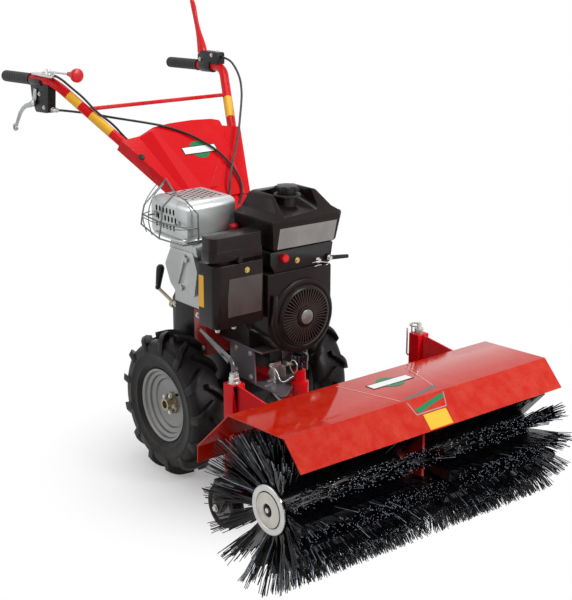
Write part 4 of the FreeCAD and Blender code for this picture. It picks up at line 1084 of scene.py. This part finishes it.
# %% [markdown]
# The signs on the hood are bare: a yellow field and a green stripe inside a grey outline on
# its front; a badge, a grey band and two pale lines on its top.  The panel has a badge too.

# %% Hood signs and badges

HOOD_EDGE, HOOD_LIP = Vector((797, 0, 419)), Vector((860, 0, 352))
slope = (HOOD_LIP - HOOD_EDGE).normalized()
print("front face slope", [round(v, 3) for v in slope])


def on_front(y, down, lift=0.35):
    """A place on the hood's sloping front: across the machine, and down from the bend."""
    outward = Vector((-slope.z, 0, slope.x))
    spot = HOOD_EDGE + slope * down + outward * lift
    return at(spot.x, y, spot.z)


def on_top(x, y, lift=0.3):
    """A place on the hood's flat top."""
    return at(x, y, 408 + (x - 578) * 11 / 219 + lift)


plate("hood_sign", on_front, [(-38, 47), (-38, 89), (40, 89), (40, 47)], label_yellow, "broom",
      0.4)
STRIPE = ((-56, 29), (-44, 40), (50, 19), (55, 8), (40, 8))
plate("hood_stripe", on_front, STRIPE, stripe_green, "broom", 0.4)
OUTLINE = [on_front(-66, 6), on_front(-56, 42), on_front(46, 42), on_front(58, 5)]
for k, (a, b) in enumerate(zip(OUTLINE, OUTLINE[1:])):
    across = (b - a).normalized().cross(Vector((0.7, 0, 0.7))) * mm(1.6)
    line = slab("hood_outline_%d" % k, [a - across, b - across, b + across, a + across], 0.3, outline_grey,
                bevel=0.15, segments=1)
    place_piece(line, "broom")


def badge(name, spot, size, body):
    """A bare badge: a green field with a plain white band across it, on any surface."""
    reach = size * 0.54
    turns = [math.pi * k / 12 for k in range(24)]
    field = [(math.cos(a) * reach, math.sin(a) * reach, 0.3) for a in turns]
    plate(name + "_field", spot, field, stripe_green, body, 0.3)
    for part, wide, high, lift, paint in (("_border", 1, 0.25, 0.5, matte_black),
                                          ("_band", 0.96, 0.2, 0.8, badge_white)):
        box = [(x * size * wide, y * size * high, lift) for x, y in ((-1, -1), (1, -1), (1, 1), (-1, 1))]
        plate(name + part, spot, box, paint, body, 0.4)


badge("hood_badge", lambda side, rise, lift: on_top(662 - rise, 5 + side, lift), 70, "broom")
badge("panel_badge", lambda side, rise, lift: on_sheet(98 - rise, 18 + side, 27.8 + rise * 0.0205 + lift), 60,
      "tractor")
plate("hood_band", on_top, [(784, -60), (751, 76), (771, 65), (797, -71)], label_grey, "broom",
      0.3)
for k, (x0, y0, x1, y1) in enumerate([(594, -118, 790, -79), (600, 119, 756, 66)]):
    plate("hood_line_%d" % k, on_top, [(x0, y0 - 1.4), (x1, y1 - 1.4), (x1, y1 + 1.4), (x0, y0 + 1.4)],
          pale_line, "broom", 0.3)


# %% [markdown]
# The brush is thousands of crimped plastic strands in fourteen rows on two drums.  A fourth
# tree grows them: each point on the drum carries one thin, slightly bowed strand, and the
# strands of the end tufts lean outwards.  Dark cores in the rows close the view between them.
# A share of the strands, larger near the outer ends, and the tip of every strand get a pale
# finish: painted highlights.

# %% Tree four: bristles
BRUSH_CENTRE = Vector((710, 0, 200))
ROWS, TUFTS, STRANDS = 14, 28, 12

brush_tree, brush_in, brush_out = new_group(
    "bristles_on_a_drum", "GeometryNodeTree",
    [("Geometry", "Geometry", None), ("Rows", "Int", ROWS), ("Tufts", "Int", TUFTS),
     ("Strands", "Int", STRANDS), ("Side", "Float", 1.0), ("Root radius", "Float", 0.050),
     ("Tip radius", "Float", 0.1994),
     ("Inner end", "Float", 0.046), ("Outer end", "Float", 0.416), ("Lean out", "Float", 0.080),
     ("Lean in", "Float", 0.030), ("Phase", "Float", 0.155), ("Thickness", "Float", 0.0016),
     ("Centre", "Vector", None), ("Seed", "Int", 3), ("Painted glint share", "Float", 0.05),
     ("Finish", "Material", None), ("Painted glint finish", "Material", None)],
    [("Geometry", "Geometry")])


sow = partial(put, brush_tree)
calc = partial(maths, brush_tree)


def chance(low, high, shift):
    """A random number for each strand, from a seed of its own."""
    seed = calc("ADD", brush_in["Seed"], shift)
    return sow("FunctionNodeRandomValue", {2: low, 3: high, 8: seed}, data_type="FLOAT").outputs[1]


def stored(name, geometry, value, data_type):
    """Writes a value on every point under a name."""
    return sow("GeometryNodeStoreNamedAttribute", {"Geometry": geometry, "Name": name, "Value": value},
               data_type=data_type, domain="POINT")


def read(name, data_type="FLOAT"):
    return sow("GeometryNodeInputNamedAttribute", {"Name": name}, data_type=data_type)


per_row = calc("MULTIPLY", brush_in["Tufts"], brush_in["Strands"])
count = calc("MULTIPLY", per_row, brush_in["Rows"])
number = sow("GeometryNodeInputIndex")
row = calc("FLOOR", calc("DIVIDE", number, per_row))
in_row = calc("SUBTRACT", number, calc("MULTIPLY", row, per_row))
tuft = calc("FLOOR", calc("DIVIDE", in_row, brush_in["Strands"]))
share = calc("DIVIDE", calc("ADD", tuft, 0.5), brush_in["Tufts"])
span = calc("SUBTRACT", brush_in["Outer end"], brush_in["Inner end"])
root_mid = calc("ADD", brush_in["Inner end"], calc("MULTIPLY", share, span))
root_y = calc("ADD", root_mid, chance(-0.004, 0.004, 1))
near_out = calc("POWER", calc("MULTIPLY", calc("SUBTRACT", share, 0.70), 3.33, True), 1.4)
near_in = calc("POWER", calc("MULTIPLY", calc("SUBTRACT", 0.16, share), 6.3, True), 1.4)
lean = calc("SUBTRACT", calc("MULTIPLY", near_out, brush_in["Lean out"]),
            calc("MULTIPLY", near_in, brush_in["Lean in"]))
lean = calc("ADD", lean, chance(-0.005, 0.005, 2))
turn = calc("ADD", calc("DIVIDE", calc("MULTIPLY", row, 2 * math.pi), brush_in["Rows"]), brush_in["Phase"])
root_turn = calc("ADD", turn, chance(-0.085, 0.085, 4))
tip_turn = calc("ADD", turn, chance(-0.125, 0.125, 5))
tip_radius = calc("SUBTRACT", brush_in["Tip radius"], chance(0.0, 0.012, 3))


def on_drum(radius, angle, y):
    side_y = calc("MULTIPLY", y, brush_in["Side"])
    spot = sow("ShaderNodeCombineXYZ", {"X": calc("MULTIPLY", radius, calc("SINE", angle)), "Y": side_y,
                                        "Z": calc("MULTIPLY", radius, calc("COSINE", angle))})
    return sow("ShaderNodeVectorMath", {0: spot, 1: brush_in["Centre"]},
               operation="ADD")


root = on_drum(brush_in["Root radius"], root_turn, root_y)
tip = on_drum(tip_radius, tip_turn, calc("ADD", root_y, lean))
run = sow("ShaderNodeVectorMath", {0: tip, 1: root}, operation="SUBTRACT")
length = sow("ShaderNodeVectorMath", {0: run}, operation="LENGTH").outputs[1]
roots = sow("GeometryNodePoints", {"Count": count, "Position": root})
aim = sow("FunctionNodeAlignRotationToVector", {"Vector": run}, axis="Z")
size = sow("ShaderNodeCombineXYZ", {"X": brush_in["Thickness"], "Y": brush_in["Thickness"], "Z": length})
strand = sow("GeometryNodeMeshCone", {"Vertices": 3, "Side Segments": 2, "Fill Segments": 1,
                                      "Radius Top": 0.75, "Radius Bottom": 1.0, "Depth": 1.0})
strand_place = sow("GeometryNodeInputPosition")
height = sow("ShaderNodeSeparateXYZ", {0: strand_place}).outputs["Z"]
marked = stored("along", strand, height, "FLOAT")
swing = sow("ShaderNodeCombineXYZ", {"X": chance(-0.004, 0.004, 6), "Y": chance(-0.007, 0.007, 7),
                                     "Z": chance(-0.004, 0.004, 8)})
bowed = stored("bow", roots, swing, "FLOAT_VECTOR")
lot = calc("SUBTRACT", chance(0.0, 1.0, 9), calc("MULTIPLY", near_out, 0.10))
drawn = stored("draw", bowed, lot, "FLOAT")
strands = copies_of(brush_tree, drawn, marked, Rotation=aim, Scale=size)
along = read("along")
bulge = calc("MULTIPLY", calc("MULTIPLY", along, calc("SUBTRACT", 1.0, along)), 4.0)
bend = sow("ShaderNodeVectorMath", {0: read("bow", "FLOAT_VECTOR"), "Scale": bulge}, operation="SCALE")
bent = sow("GeometryNodeSetPosition", {"Geometry": strands, "Offset": bend})
dark = sow("GeometryNodeSetMaterial", {"Geometry": bent, "Material": brush_in["Finish"]})
# Strands drawn under the share, and the tip of every strand, take the pale finish: painted highlights.
chosen = sow("FunctionNodeCompare", {0: read("draw"), 1: brush_in["Painted glint share"]}, data_type="FLOAT",
             operation="LESS_THAN")
tip_end = sow("FunctionNodeCompare", {0: along, 1: 0.99}, data_type="FLOAT", operation="GREATER_THAN")
bright = sow("FunctionNodeBooleanMath", {0: chosen, 1: tip_end}, operation="OR")
painted_glints = sow("GeometryNodeSetMaterial", {"Geometry": dark, "Selection": bright,
                                        "Material": brush_in["Painted glint finish"]})
brush_tree.links.new(painted_glints.outputs[0], brush_out.inputs[0])

# %% Brush: strands, row cores, drum and discs
DRUM = at(*BRUSH_CENTRE)
CORE_SECTION = ((-9, 48, 0, 0), (9, 48, 0, 0), (13, 150, -14, 30), (-13, 150, -14, 30))
for side, sign in SIDES:
    hair = new_object("bristles_" + side, bpy.data.meshes.new("bristles_" + side))
    grow(hair, brush_tree, {"Side": float(sign), "Lean out": 0.08 if sign < 0 else 0.042, "Centre": DRUM,
                            "Seed": 3 + sign, "Finish": bristle, "Painted glint finish": painted_bristle_highlight})
    place_piece(hair, "brush", ["brush_half_" + side])
    print("bristles", side, len(hair.data.polygons), "faces")
    inner_end = [Vector((t, sign * (44 + low), r)) / 1000 for t, r, low, high in CORE_SECTION]
    outer_end = [Vector((t, sign * (418 + high), r)) / 1000 for t, r, low, high in CORE_SECTION]
    core = loft("row_cores_" + side, [inner_end, outer_end], bristle)
    grow(core, ring, {"Count": ROWS, "Centre": DRUM, "Axis": LEFT, "Phase": 0.155, "Finish": bristle})
    place_piece(core, "brush", ["brush_half_" + side])

polished("brush_core", core_steel, bevel=0)
DISC = {"flange": ([(47, -6), (60, -6), (63.5, -5), (63.5, -1.5), (61.5, 0), (49, 0), (47.5, -1)], zinc, 96),
        "groove": ([(0, -5), (50, -5), (50, -2.6), (0, -2.6)], core_steel, 96),
        "dish": ([(0, -3), (44, -3), (44.6, -2), (44.6, 0.6), (43, 1.6), (18, 2.2), (17, 1), (16.5, -2),
                  (0, -2)], disc_white, 96),
        # The well in the middle is flat black: painted shade in the recess.
        "well": ([(0, -2.4), (16.4, -2.4), (16.4, -1.4), (0, -1.4)], painted_shade_black, 48)}
for side, sign in SIDES:
    middle, outward = at(710, sign * 430, 200), (0, sign, 0)
    layers = [lathe("disc_%s_%s" % (part, side), outline, middle, outward, paint, steps)
              for part, (outline, paint, steps) in DISC.items()]
    place_piece(join_all("end_disc_" + side, layers), "brush", ["brush_discs"] if sign > 0 else ())
set_screws("disc_bolts", [((710, -426, 200), RIGHT), ((710, 426, 200), LEFT)], "brush", head=7, height=6,
           washer=9.5)

# %% [markdown]
# The castors: black forks, and wheels with a rounded rubber tread on a plain hub.

# %% Castors
TREAD = [(43, -17), (46, -18.5), (54, -19), (58, -17.5), (61.3, -12), (62.3, -5), (62.5, 0)]
HUB = [(6.4, -21.5), (16, -21.5), (17, -15), (30, -11), (42, -15), (43.5, -15)]
for side, sign in SIDES:
    polished("caster_fork_" + side, black_paint, bevel=1.0)
    roller = at(392, sign * 326, 62.5)
    tread = lathe("caster_tread_" + side, TREAD + [(r, -s) for r, s in TREAD[-2::-1]], roller, LEFT,
                  tyre_rubber, 72)
    hub = lathe("caster_hub_" + side, HUB + [(r, -s) for r, s in HUB[::-1]], roller, LEFT, grey_sheet, 72)
    place_piece(join_all("caster_roller_" + side, [tread, hub]), "caster_wheel_" + side,
                ["caster_wheel_" + side])
    nuts = [((392, sign * 326 + 33, 62.5), LEFT), ((392, sign * 326 - 33, 62.5), RIGHT)]
    set_screws("caster_nuts_" + side, nuts, "caster_" + side, head=8, height=5, washer=10)

# %% [markdown]
# Blank yellow fields lie on the handlebar tubes.  Each is a strip of a thin shell that
# follows the tube and goes about a third of the way round it.

# %% Blank fields on the tubes
SIGN_R = 14.9


def tube_sign(name, sign, start, stop, middle, spread):
    """A field on a handlebar tube between two distances from the bend, round part of it."""
    bend, foot = Vector((-478, sign * 306, 1091)), Vector((-60, sign * 75, 740))
    run = (foot - bend).normalized()
    up = Vector((0, 0, 1))
    up = (up - run * up.dot(run)).normalized()
    out = run.cross(up).normalized()
    turns = [middle + spread * (k / 8 - 0.5) for k in range(9)]
    inner = [(up * math.cos(a) + out * math.sin(a)) * (SIGN_R - 0.4) for a in turns]
    outer = [(up * math.cos(a) + out * math.sin(a)) * SIGN_R for a in turns]
    ends = [[at(*(bend + run * s + ray)) for ray in inner + outer[::-1]] for s in (start, stop)]
    return place_piece(loft(name, ends, label_yellow, 40), "tractor")


tube_sign("right_sign_short", -1, 62, 110, 1.1, 2.2)
tube_sign("right_sign_long", -1, 154, 236, 1.1, 2.2)
tube_sign("left_sign", 1, 146, 233, 0.17, 2.1)
